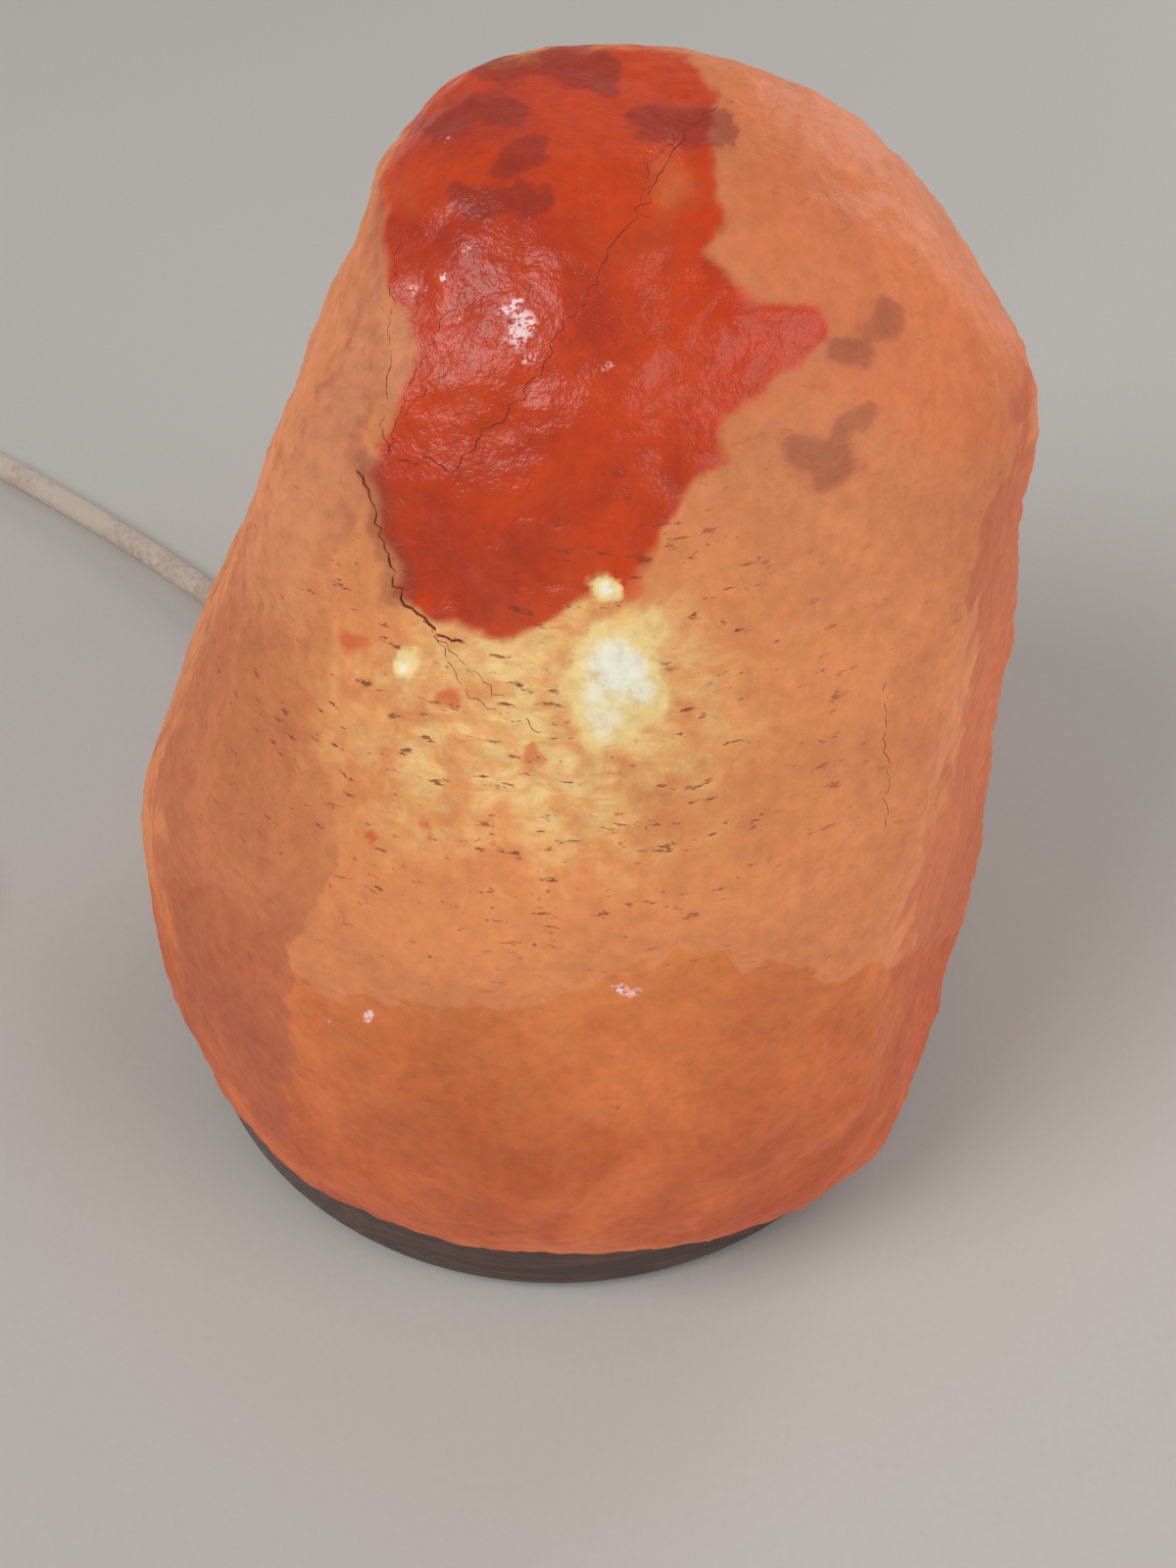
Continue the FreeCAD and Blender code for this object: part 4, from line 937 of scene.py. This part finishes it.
def spots(pixels: np.ndarray, places: Iterable[Sequence]) -> np.ndarray:
    """Strongest of several round soft spots at each pixel.

    Args:
        pixels: Array of pixels, one a row.
        places: Centre and radius of each spot, and its level where that isn't 1.

    Returns:
        Values from 0 to 1.
    """
    return np.max([(level[0] if level else 1.0)
                   * np.exp(-(np.linalg.norm(pixels - np.array(place), axis=1) / size) ** 2)
                   for place, size, *level in places], axis=0)


def lines(pixels: np.ndarray, strokes: Iterable[Sequence[Pixel]], width: float) -> np.ndarray:
    """Strongest of several soft strokes at each pixel.

    Args:
        pixels: Array of pixels, one a row.
        strokes: Corners of each stroke.
        width: Half the width of a stroke, in pixels.

    Returns:
        Values from 0 to 1.
    """
    return np.max([np.exp(-(from_stroke(pixels, stroke) / width) ** 2) for stroke in strokes],
                  axis=0)


def eased(values: np.ndarray, low: float, high: float) -> np.ndarray:
    """Smooth step of an array between two edges.

    Args:
        values: The array.
        low: Where the step starts.
        high: Where the step ends.

    Returns:
        Values from 0 to 1.
    """
    share = np.clip((values - low) / (high - low), 0.0, 1.0)
    return share * share * (3 - 2 * share)


def rough(points: np.ndarray, size: float, seed: float, layers: int = 3) -> np.ndarray:
    """Layered noise at each point.

    Args:
        points: Array of points, one a row.
        size: Size of the broadest patches, in metres.
        seed: Offset of the pattern.
        layers: Number of layers.

    Returns:
        Values about -1 to 1.
    """
    shift = Vector((seed, seed * 1.7, seed * 0.6))
    return np.array([noise.fractal(Vector(point) / size + shift, 1.0, 2.0, layers)
                     for point in points])


@dataclass
class SaltBlock:
    """Rock salt, broken and water worn, hollowed from below for the bulb.

    What the front shows is placed by where it is seen from the viewpoint, in pixels of its frame,
    and lies on the block's own points, so that it stays there from every side.
    """

    viewpoint: Viewpoint
    voxel: float = 0.00125
    soften: int = 10                     # rounds of smoothing
    underside: float = 0.0194            # what lies lower is the flat underside
    hollow_radius: float = 0.0285
    hollow_top: float = 0.138
    red_zone: tuple[Pixel, ...] = (
        (398, 180), (412, 120), (470, 75), (560, 52), (640, 44), (700, 60), (735, 100), (728, 180),
        (730, 260), (760, 300), (830, 315), (845, 345), (790, 380), (742, 430), (735, 470),
        (690, 500), (672, 560), (640, 600), (600, 612), (560, 628), (505, 652), (450, 640),
        (412, 600), (395, 540), (372, 480), (400, 440), (425, 330), (388, 250))
    peach_zone: tuple[Pixel, ...] = (
        (742, 70), (800, 70), (900, 150), (1000, 270), (1048, 350), (1048, 480), (960, 470),
        (890, 420), (830, 400), (790, 440), (745, 440), (790, 385), (845, 345), (790, 305),
        (750, 270), (732, 180))
    pale_face: tuple[Pixel, ...] = (
        (395, 250), (360, 330), (330, 390), (290, 450), (265, 520), (250, 600), (285, 640),
        (325, 640), (335, 560), (365, 500), (365, 440), (390, 380))
    left_face: tuple[Pixel, ...] = (
        (395, 150), (360, 330), (290, 450), (225, 600), (160, 780), (160, 880), (200, 1060),
        (290, 1180), (300, 1080), (290, 980), (345, 880), (332, 780), (326, 680), (345, 590),
        (368, 480), (388, 380), (395, 250))
    # the right side facet, which lies in shade; the tone painted on it stands in for that shade
    shaded_side_face: tuple[Pixel, ...] = (
        (1048, 340), (1036, 480), (998, 549), (991, 611), (991, 687), (970, 773), (946, 859),
        (922, 945), (918, 1006), (916, 1062), (912, 1130), (960, 1070), (1010, 860), (1052, 600),
        (1055, 460))
    lower_edge: tuple[Pixel, ...] = (
        (0, 900), (150, 900), (230, 905), (285, 950), (300, 990), (330, 1012), (400, 1020), (450, 1035),
        (520, 1020), (620, 1000), (700, 960), (780, 985), (850, 1000), (918, 985), (1010, 930),
        (1200, 900), (1200, -200), (0, -200))
    maroon_spots: tuple[tuple[Pixel, ...], ...] = (
        ((500, 75), (560, 62), (620, 70)), ((440, 128), (490, 112), (530, 118)),
        ((478, 205), (512, 206), (540, 206)), ((665, 125), (700, 128), (745, 132)),
        ((520, 170), (548, 152)), ((590, 78), (622, 84)))
    # brown smudges, and painted shade on the wall of the ledge's step in the stroke from 372, 478
    smudges_and_ledge_shade: tuple[tuple[Pixel, ...], ...] = (
        ((850, 470), (872, 440), (882, 420)), ((900, 320), (908, 336)), ((862, 352), (880, 356)),
        ((372, 478), (392, 545), (408, 600)), ((820, 465), (850, 480)))
    red_streak: tuple[Pixel, ...] = ((716, 150), (714, 220), (712, 275), (728, 310), (742, 340))
    red_patch: tuple[Pixel, ...] = (
        (706, 280), (760, 296), (832, 318), (812, 362), (778, 400), (744, 428), (722, 380))
    red_spots: tuple[tuple[Pixel, float], ...] = (
        ((370, 860), 11.0), ((435, 842), 9.0), ((545, 776), 13.0), ((455, 716), 12.0),
        ((640, 590), 20.0), ((352, 660), 16.0), ((432, 604), 14.0))
    pale_patches: tuple[tuple[Pixel, float], ...] = (((686, 190), 22.0), ((678, 172), 12.0))
    # painted highlights: reflections of the studio lamps on the glossy front, each a centre and a radius
    painted_highlights: tuple[tuple[Pixel, float], ...] = (
        ((530, 330), 13.0), ((520, 312), 6.0), ((457, 137), 3.5), ((480, 245), 4.0), ((462, 250), 3.0),
        ((435, 300), 5.0), ((500, 226), 3.0), ((448, 296), 3.5), ((335, 1040), 3.5), ((372, 1042), 3.5),
        ((612, 372), 3.0), ((640, 1010), 6.0), ((470, 330), 3.0), ((545, 352), 5.0))
    hot_spots: tuple[tuple[Pixel, float, float], ...] = (
        ((630, 688), 46.0, 1.0), ((618, 735), 34.0, 0.62), ((616, 602), 15.0, 0.9),
        ((415, 672), 12.0, 0.75), ((660, 640), 34.0, 0.35))
    bowl_centre: Pixel = (550, 735)
    bowl_stretch: Pixel = (0.92, 1.2)
    bowl_reach: float = 250.0
    bulb_centre: Point = (0.0, 0.0, 0.092)
    blotch_width: float = 20.0
    streak_width: float = 13.0
    wander: float = 16.0                 # how far noise stirs the outlines, in pixels

    def smooth_copy(self) -> bmesh.types.BMesh:
        """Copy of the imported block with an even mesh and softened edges.

        Returns:
            The bmesh.
        """
        node = frame["nodes"]["salt_crystal"]
        shape = bmesh.new()
        shape.from_mesh(node.data)
        bmesh.ops.remove_doubles(shape, verts=shape.verts[:], dist=1e-6)
        data = bpy.data.meshes.new("salt_block")
        shape.to_mesh(data)
        shape.free()
        piece = bpy.data.objects.new("salt_even", data)
        bpy.context.scene.collection.objects.link(piece)
        remesh = piece.modifiers.new("even", "REMESH")
        remesh.mode = "VOXEL"
        remesh.voxel_size = self.voxel
        remesh.adaptivity = 0.0
        bpy.context.view_layer.update()
        ready = piece.evaluated_get(bpy.context.evaluated_depsgraph_get())
        even = bpy.data.meshes.new_from_object(ready)
        bpy.data.objects.remove(piece)
        shape = bmesh.new()
        shape.from_mesh(even)
        bpy.data.meshes.remove(even)
        bpy.data.meshes.remove(data)
        outside = [vert for vert in shape.verts if not self.in_hollow(vert.co)]
        for _ in range(self.soften):
            bmesh.ops.smooth_vert(shape, verts=outside, factor=0.5, use_axis_x=True,
                                  use_axis_y=True, use_axis_z=True)
        return shape

    def in_hollow(self, place: Vector) -> bool:
        """Whether a point lies on the flat underside or the wall of the hollow."""
        near = math.hypot(place.x, place.y) < self.hollow_radius and place.z < self.hollow_top
        return place.z < self.underside or near

    def sculpt(self, shape: bmesh.types.BMesh) -> None:
        """Moves the block's points into worn facets, steps and chips.

        Args:
            shape: The block.
        """
        lowest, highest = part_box("salt_crystal")
        shape.normal_update()
        verts = [vert for vert in shape.verts if not self.in_hollow(vert.co)]
        points = np.array([vert.co for vert in verts])
        broad = rough(points, 0.030, 3.1, 2)
        middle = rough(points, 0.011, 7.7, 3)
        layered = rough(points * np.array((1.0, 1.0, 2.6)), 0.020, 12.4, 3)
        steps = np.abs((layered * 2.2) % 1.0 - 0.5)
        depth = 0.0011 * broad + 0.0006 * middle + 0.0007 * steps - 0.0005
        pixels = self.viewpoint.seen_at(points)
        facing = self.facing(verts)
        edge = from_outline(pixels, self.lower_edge) + 6.0 * middle
        depth += facing * (0.0006 * eased(edge, -4.0, 6.0) - 0.0003)
        ridge = from_stroke(pixels, ((395, 150), (396, 300), (392, 430), (372, 480)))
        depth += facing * 0.0007 * np.exp(-(ridge / 16.0) ** 2)
        for vert, move in zip(verts, depth):
            place = vert.co + vert.normal * float(move)
            for axis in range(3):
                place[axis] = min(max(place[axis], lowest[axis]), highest[axis])
            vert.co = place

    def facing(self, verts: Sequence[bmesh.types.BMVert]) -> np.ndarray:
        """How far each point faces the viewpoint, which keeps what is painted off the back.

        Args:
            verts: The points.

        Returns:
            Values from 0 to 1.
        """
        eye = Vector(self.viewpoint.place)
        turned = np.array([vert.normal.dot((eye - vert.co).normalized()) for vert in verts])
        return eased(turned, -0.12, 0.10)

    def fields(self, verts: Sequence[bmesh.types.BMVert]) -> dict[str, np.ndarray]:
        """Everything that is painted on the block's points, by name.

        Args:
            verts: The points.

        Returns:
            One value for each point and name. A field of an area is half at its edge.
        """
        points = np.array([vert.co for vert in verts])
        pixels = self.viewpoint.seen_at(points)
        facing = self.facing(verts)
        stir = np.stack((rough(points, 0.006, 21.3, 3), rough(points, 0.006, 35.9, 3)), axis=1)
        pixels = pixels + self.wander * stir
        soft = {"red_zone": 26.0, "peach_zone": 60.0, "pale_face": 34.0, "left_face": 12.0,
                "shaded_side_face": 12.0}
        painted = {name: facing * (0.5 + 0.5 * np.clip(
            from_outline(pixels, getattr(self, name)) / width, -1.0, 1.0))
            for name, width in soft.items()}
        edge = np.clip(from_outline(pixels, self.lower_edge) / 14.0, -1.0, 1.0)
        painted["upper_layer"] = facing * (0.5 + 0.5 * edge)
        painted["maroon"] = facing * lines(pixels, self.maroon_spots, self.blotch_width)
        painted["smudge_and_ledge_shade"] = facing * lines(pixels, self.smudges_and_ledge_shade, self.blotch_width)
        streak = lines(pixels, [self.red_streak], self.streak_width)
        patch = 0.5 + 0.5 * np.clip(from_outline(pixels, self.red_patch) / 30.0, -1.0, 1.0)
        painted["red_patch"] = facing * np.max(
            [streak, patch, spots(pixels, self.red_spots)], axis=0)
        painted["pale_patch"] = facing * spots(pixels, self.pale_patches)
        painted["hot"] = facing * spots(pixels, self.hot_spots)
        painted["painted_highlight"] = facing * spots(pixels, self.painted_highlights)
        stretch = np.array(self.bowl_stretch)
        away = np.linalg.norm((pixels - np.array(self.bowl_centre)) * stretch, axis=1)
        painted["bowl"] = facing * np.exp(-(away / self.bowl_reach) ** 2)
        reach = np.linalg.norm((points - np.array(self.bulb_centre)) * np.array((1.0, 1.0, 0.75)),
                               axis=1)
        painted["glow"] = 1.0 - eased(reach, 0.050, 0.105)
        painted["height"] = points[:, 2]
        return painted

    def build(self, materials: dict[str, bpy.types.Material]) -> bpy.types.Object:
        """Makes the block.

        Args:
            materials: The materials by finish.

        Returns:
            The block.
        """
        shape = self.smooth_copy()
        self.sculpt(shape)
        shape.normal_update()
        for face in shape.faces:
            face.smooth = True
        painted = self.fields(shape.verts)
        data = bpy.data.meshes.new("salt_block")
        shape.to_mesh(data)
        shape.free()
        for name, values in painted.items():
            layer = data.attributes.new(name, "FLOAT", "POINT")
            layer.data.foreach_set("value", values.astype(np.float32))
        piece = put("salt_block", data, "root")
        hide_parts("salt_crystal")
        dress(piece, "rock_salt", materials)
        log.info("salt block: %d faces", len(data.polygons))
        return piece


@dataclass(frozen=True)
class RockSalt:
    """Salt lit from within: deep red, orange and peach layers with specks and cracks."""

    name: str = "lit rock salt"
    level: float = 0.70                  # strength of its own light
    shade: float = 0.83                  # how dark its skin is under that light
    body: Colour = linear(194, 84, 46)
    # painted shade: the darker colour towards the foot, where the block curves under
    low: Colour = linear(180, 70, 38)
    red: Colour = linear(214, 66, 22)
    deep_red: Colour = linear(176, 44, 22)
    peach: Colour = linear(230, 124, 74)
    amber: Colour = linear(244, 160, 88)
    cream: Colour = linear(255, 222, 150)
    white: Colour = linear(255, 250, 226)
    # colour of the painted highlights
    highlight_tint: Colour = linear(255, 214, 214)
    maroon: Colour = linear(140, 50, 42)
    brown: Colour = linear(136, 66, 48)
    frost: Colour = linear(182, 98, 72)
    pale: Colour = linear(228, 150, 106)
    # painted shade of the right side facet, a pinker tone
    side_shade_tint: Colour = linear(196, 98, 70)

    def zone(self, graph: Graph, name: str, ragged: float, width: float,
             stir: bpy.types.NodeSocket) -> bpy.types.NodeSocket:
        """Painted area with a ragged edge.

        Args:
            graph: The material's graph.
            name: Name of the painted field.
            ragged: How far the edge wanders.
            width: How soft the edge is.
            stir: Noise that moves the edge.

        Returns:
            The area's share, from 0 to 1.
        """
        wander = graph.math("MULTIPLY", graph.math("SUBTRACT", stir, 0.5), ragged)
        return graph.steps(graph.math("ADD", graph.painted(name), wander),
                           0.5 - width, 0.5 + width)

    def make(self) -> bpy.types.Material:
        """Builds the material.

        Returns:
            The material.
        """
        graph = Graph(self.name)
        plain = graph.place()
        broad = graph.noise(plain, 38.0, 5.0, 0.55, 0.6)
        middle = graph.noise(plain, 120.0, 5.0, 0.6, 0.4)
        fine = graph.noise(plain, 420.0, 4.0, 0.62)
        grains = graph.noise(plain, 1500.0, 3.0, 0.6)

        # body: orange above, darker and browner towards the foot as painted shade where the block curves
        # under, clouded, and amber near the bulb from its glow
        height = graph.steps(graph.painted("height"), 0.02, 0.10)
        tone = graph.mix(height, self.low, self.body)
        clouds = graph.steps(broad, 0.34, 0.68)
        tone = graph.mix(graph.math("MULTIPLY", clouds, 0.38), tone, self.peach)
        near = graph.math("MULTIPLY", graph.painted("glow"), graph.steps(middle, 0.25, 0.7, 0.6, 1.0))
        tone = graph.mix(graph.math("MULTIPLY", near, 0.55), tone, self.amber)

        # faces and layers of the front
        for name, ragged, width, stir, share, colour in (
                ("upper_layer", 0.5, 0.08, middle, 0.42, self.pale),
                ("peach_zone", 0.5, 0.32, broad, 0.62, self.peach),
                ("left_face", 0.3, 0.2, middle, 0.66, self.frost),
                ("pale_face", 0.7, 0.4, fine, 0.70, self.pale),
                # the right side facet takes a pinker tone as painted shade
                ("shaded_side_face", 0.2, 0.16, middle, 0.60, self.side_shade_tint)):
            area = self.zone(graph, name, ragged, width, stir)
            tone = graph.mix(graph.math("MULTIPLY", area, share), tone, colour)

        # light of the bulb through the front
        bowl = graph.math("MULTIPLY", graph.painted("bowl"), graph.steps(middle, 0.22, 0.62, 0.45, 1.0))
        tone = graph.mix(graph.math("MULTIPLY", bowl, 0.95), tone, self.amber)
        veins = graph.steps(graph.noise(graph.place(scale=(1.0, 1.0, 2.2)), 150.0, 6.0, 0.68, 1.2),
                            0.36, 0.62, 0.35, 1.1)
        warm = graph.math("MULTIPLY", graph.steps(bowl, 0.34, 0.95), veins)
        tone = graph.mix(graph.math("MULTIPLY", warm, 0.80), tone, self.cream)

        # the deep red cap with its blotches
        red = self.zone(graph, "red_zone", 0.42, 0.16, middle)
        reds = graph.mix(graph.steps(broad, 0.40, 0.66), self.red, self.deep_red)
        tone = graph.mix(graph.math("MULTIPLY", red, 0.94), tone, reds)
        islands = graph.math("MULTIPLY", red, graph.steps(
            graph.noise(graph.place(), 62.0, 6.0, 0.66, 0.8), 0.56, 0.68))
        tone = graph.mix(graph.math("MULTIPLY", islands, 0.42), tone, self.body)
        patch = self.zone(graph, "red_patch", 1.1, 0.30, fine)
        tone = graph.mix(graph.math("MULTIPLY", patch, 0.62), tone, self.red)
        blotch = self.zone(graph, "maroon", 1.3, 0.22, fine)
        tone = graph.mix(graph.math("MULTIPLY", blotch, 0.62), tone, self.maroon)
        # brown smudges, and painted shade along the ledge's step
        smudge_and_ledge_shade = self.zone(graph, "smudge_and_ledge_shade", 1.3, 0.3, fine)
        tone = graph.mix(graph.math("MULTIPLY", smudge_and_ledge_shade, 0.5), tone, self.brown)
        tone = graph.mix(graph.math("MULTIPLY", graph.painted("pale_patch"), 0.6), tone, self.peach)

        # short dark dashes in the bright part, and specks all over
        dashes = graph.noise(graph.place(scale=(1.0, 1.0, 3.4), turn=(0.0, 0.12, 0.0)), 230.0, 3.0, 0.7)
        dashes = graph.steps(dashes, 0.61, 0.69)
        dashes = graph.math("MULTIPLY", dashes,
                            graph.steps(graph.painted("bowl"), 0.08, 0.45, 0.18, 0.85))
        tone = graph.mix(dashes, tone, self.brown)
        specks = graph.steps(graph.cells(plain, 210.0), 0.02, 0.10, 1.0, 0.0)
        specks = graph.math("MULTIPLY", specks, graph.steps(broad, 0.5, 0.7, 0.0, 0.7))
        tone = graph.mix(specks, tone, self.maroon)

        # the hot spots, broken up by the grain of the salt
        hot = graph.math("MULTIPLY", graph.painted("hot"), graph.steps(fine, 0.2, 0.6, 0.7, 1.15))
        tone = graph.mix(graph.steps(hot, 0.10, 0.45), tone, self.cream)
        tone = graph.mix(graph.steps(hot, 0.42, 0.85), tone, self.white)

        # painted highlights: reflections of the lamps, broken up by the grain
        highlight_share = graph.math("MULTIPLY", graph.painted("painted_highlight"), graph.steps(grains, 0.38, 0.56))
        tone = graph.mix(graph.steps(highlight_share, 0.10, 0.55), tone, self.highlight_tint)

        value = graph.math("MULTIPLY", graph.steps(fine, 0.2, 0.8, 0.86, 1.12),
                           graph.steps(broad, 0.2, 0.8, 0.88, 1.10))
        strength = graph.math("MULTIPLY", value, self.level)
        relief = graph.bump(middle, 0.0012, 0.5)
        relief = graph.bump(fine, 0.0005, 0.55, relief)
        relief = graph.bump(grains, 0.00012, 0.5, relief)
        skin = graph.mix(self.shade, tone, (0.0, 0.0, 0.0))
        rough_face = graph.math("MAXIMUM", graph.painted("left_face"), graph.painted("shaded_side_face"))
        gloss = graph.steps(graph.math("ADD", graph.painted("red_zone"),
                                       graph.math("MULTIPLY", middle, 0.5)), 0.4, 1.1, 0.52, 0.27)
        gloss = graph.math("ADD", gloss, graph.math("MULTIPLY", rough_face, 0.2))
        return graph.finish(
            base_color=skin, roughness=gloss, specular_ior_level=0.32, ior=1.54,
            emission_color=tone, emission_strength=strength, normal=relief)


@dataclass(frozen=True)
class DarkSeam:
    """Dark colour of the hairline cracks, and painted shade along the wall of the ledge's step."""

    name: str = "dark seam"
    dark: Colour = linear(74, 26, 16)
    light: Colour = linear(122, 48, 28)

    def make(self) -> bpy.types.Material:
        """Builds the material.

        Returns:
            The material.
        """
        graph = Graph(self.name)
        seam_noise = graph.noise(graph.place(), 600.0, 3.0, 0.6)
        tone = graph.mix(graph.steps(seam_noise, 0.35, 0.65), self.dark, self.light)
        return graph.finish(base_color=tone, roughness=0.8, emission_color=tone,
                            emission_strength=0.35, normal=graph.bump(seam_noise, 0.00005))


@dataclass
class Cracks:
    """Hairline cracks that lie along the face of the block, and one dark line of painted shade along the
    wall of the ledge's step.
    """

    viewpoint: Viewpoint
    sink: float = 0.25       # share of a crack's width below the surface
    step: float = 7.0        # pixels between two points of a crack
    wander: float = 4.5      # how far a point strays, in pixels
    lines: tuple[tuple[str, float, tuple[Pixel, ...]], ...] = (
        ("crack_long", 0.00018, ((735, 104), (700, 134), (672, 180), (641, 232), (618, 262), (600, 300),
                                 (578, 330), (564, 352), (550, 382), (532, 404), (517, 428),
                                 (495, 440), (480, 462), (464, 480), (440, 470), (402, 472))),
        # painted shade: the shadowed wall of the step below the red cap, drawn as a thick dark line
        ("crack_ledge", 0.00045, ((366, 474), (374, 500), (386, 540), (394, 566), (404, 596),
                                  (420, 622), (444, 640), (476, 656))),
        ("crack_low", 0.00016, ((430, 628), (452, 662), (470, 700), (498, 722), (530, 736), (558, 744))),
        ("crack_tail", 0.00014, ((440, 640), (470, 674), (500, 700), (520, 724))),
        ("crack_fine_1", 0.00013, ((398, 470), (404, 430), (425, 380), (452, 330), (478, 290))),
        ("crack_fine_2", 0.00012, ((392, 466), (392, 420), (396, 380), (402, 300), (408, 240))),
        ("crack_fine_3", 0.00012, ((400, 440), (420, 410), (450, 385), (480, 352))),
        ("crack_side", 0.00013, ((905, 690), (902, 740), (907, 800), (904, 850))),
        ("crack_top", 0.00012, ((690, 140), (660, 175), (648, 214), (668, 222))),
    )

    def followed(self, line: Sequence[Pixel], seed: float) -> list[Pixel]:
        """Closer points along a line that stray a little to each side.

        Args:
            line: Corners of the line.
            seed: Offset of the straying.

        Returns:
            The points in order.
        """
        points = []
        for start, end in zip(line, line[1:]):
            run = Vector((end[0] - start[0], end[1] - start[1]))
            count = max(1, round(run.length / self.step))
            side = Vector((-run.y, run.x)).normalized()
            for part in range(count):
                place = Vector(start) + run * part / count
                stray = noise.noise(Vector((place.x * 0.11, place.y * 0.11, seed)))
                place += side * stray * self.wander * 2
                points.append((place.x, place.y))
        return points + [tuple(line[-1])]

    def build(self, block: bpy.types.Object, materials: dict[str, bpy.types.Material]) -> None:
        """Makes each crack as a thin dark line on the block.

        Args:
            block: The finished salt block.
            materials: The materials by finish.
        """
        tree = BVHTree.FromObject(block, bpy.context.evaluated_depsgraph_get())
        eye = Vector(self.viewpoint.place)
        for number, (name, width, line) in enumerate(self.lines):
            places = []
            for pixel in self.followed(line, number * 3.7):
                spot, normal, _, _ = tree.ray_cast(eye, self.viewpoint.ray(pixel))
                if spot is not None:
                    places.append(spot - normal * width * self.sink)
            data = bpy.data.curves.new(name, "CURVE")
            data.dimensions = "3D"
            data.bevel_depth = 1.0       # times each point's radius, which holds the size
            data.bevel_resolution = 1
            thread = data.splines.new("POLY")
            thread.points.add(len(places) - 1)
            for point, place in zip(thread.points, places):
                point.co = (*place, 1.0)
                share = noise.noise(place * 260.0)
                point.radius = width / 2 * (1.0 + 0.6 * share)
            thread.points[0].radius = thread.points[-1].radius = width / 10
            piece = put(name, data, "root")
            piece.data.materials.append(materials["dark_seam"])
        log.info("cracks: %d", len(self.lines))


# ----------------------------------------------------------------------- main
def dress_nodes(materials: dict[str, bpy.types.Material]) -> None:
    """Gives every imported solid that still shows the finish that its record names.

    Args:
        materials: The materials by finish.
    """
    for name, node in frame["nodes"].items():
        finish = node.material_slots[0].material.name.split(".")[0]
        if finish in materials:
            dress(node, finish, materials)
            log.info("%s: %s", name, finish)


def main() -> None:
    """Builds the studio and every piece of the lamp."""
    logging.basicConfig(level=logging.INFO, format="%(name)s: %(message)s")
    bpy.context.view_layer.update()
    viewpoint = Viewpoint()
    viewpoint.build()
    Studio().build()
    materials = {name: finish.make() for name, finish in FINISHES.items()}
    materials["rock_salt"] = RockSalt().make()
    materials["dark_seam"] = DarkSeam().make()
    MainsLead().build(materials)
    HiddenLead().build(materials)
    block = SaltBlock(viewpoint).build(materials)
    Cracks(viewpoint).build(block, materials)
    dress_nodes(materials)
    bpy.context.view_layer.update()


if __name__ == "__main__":
    main()
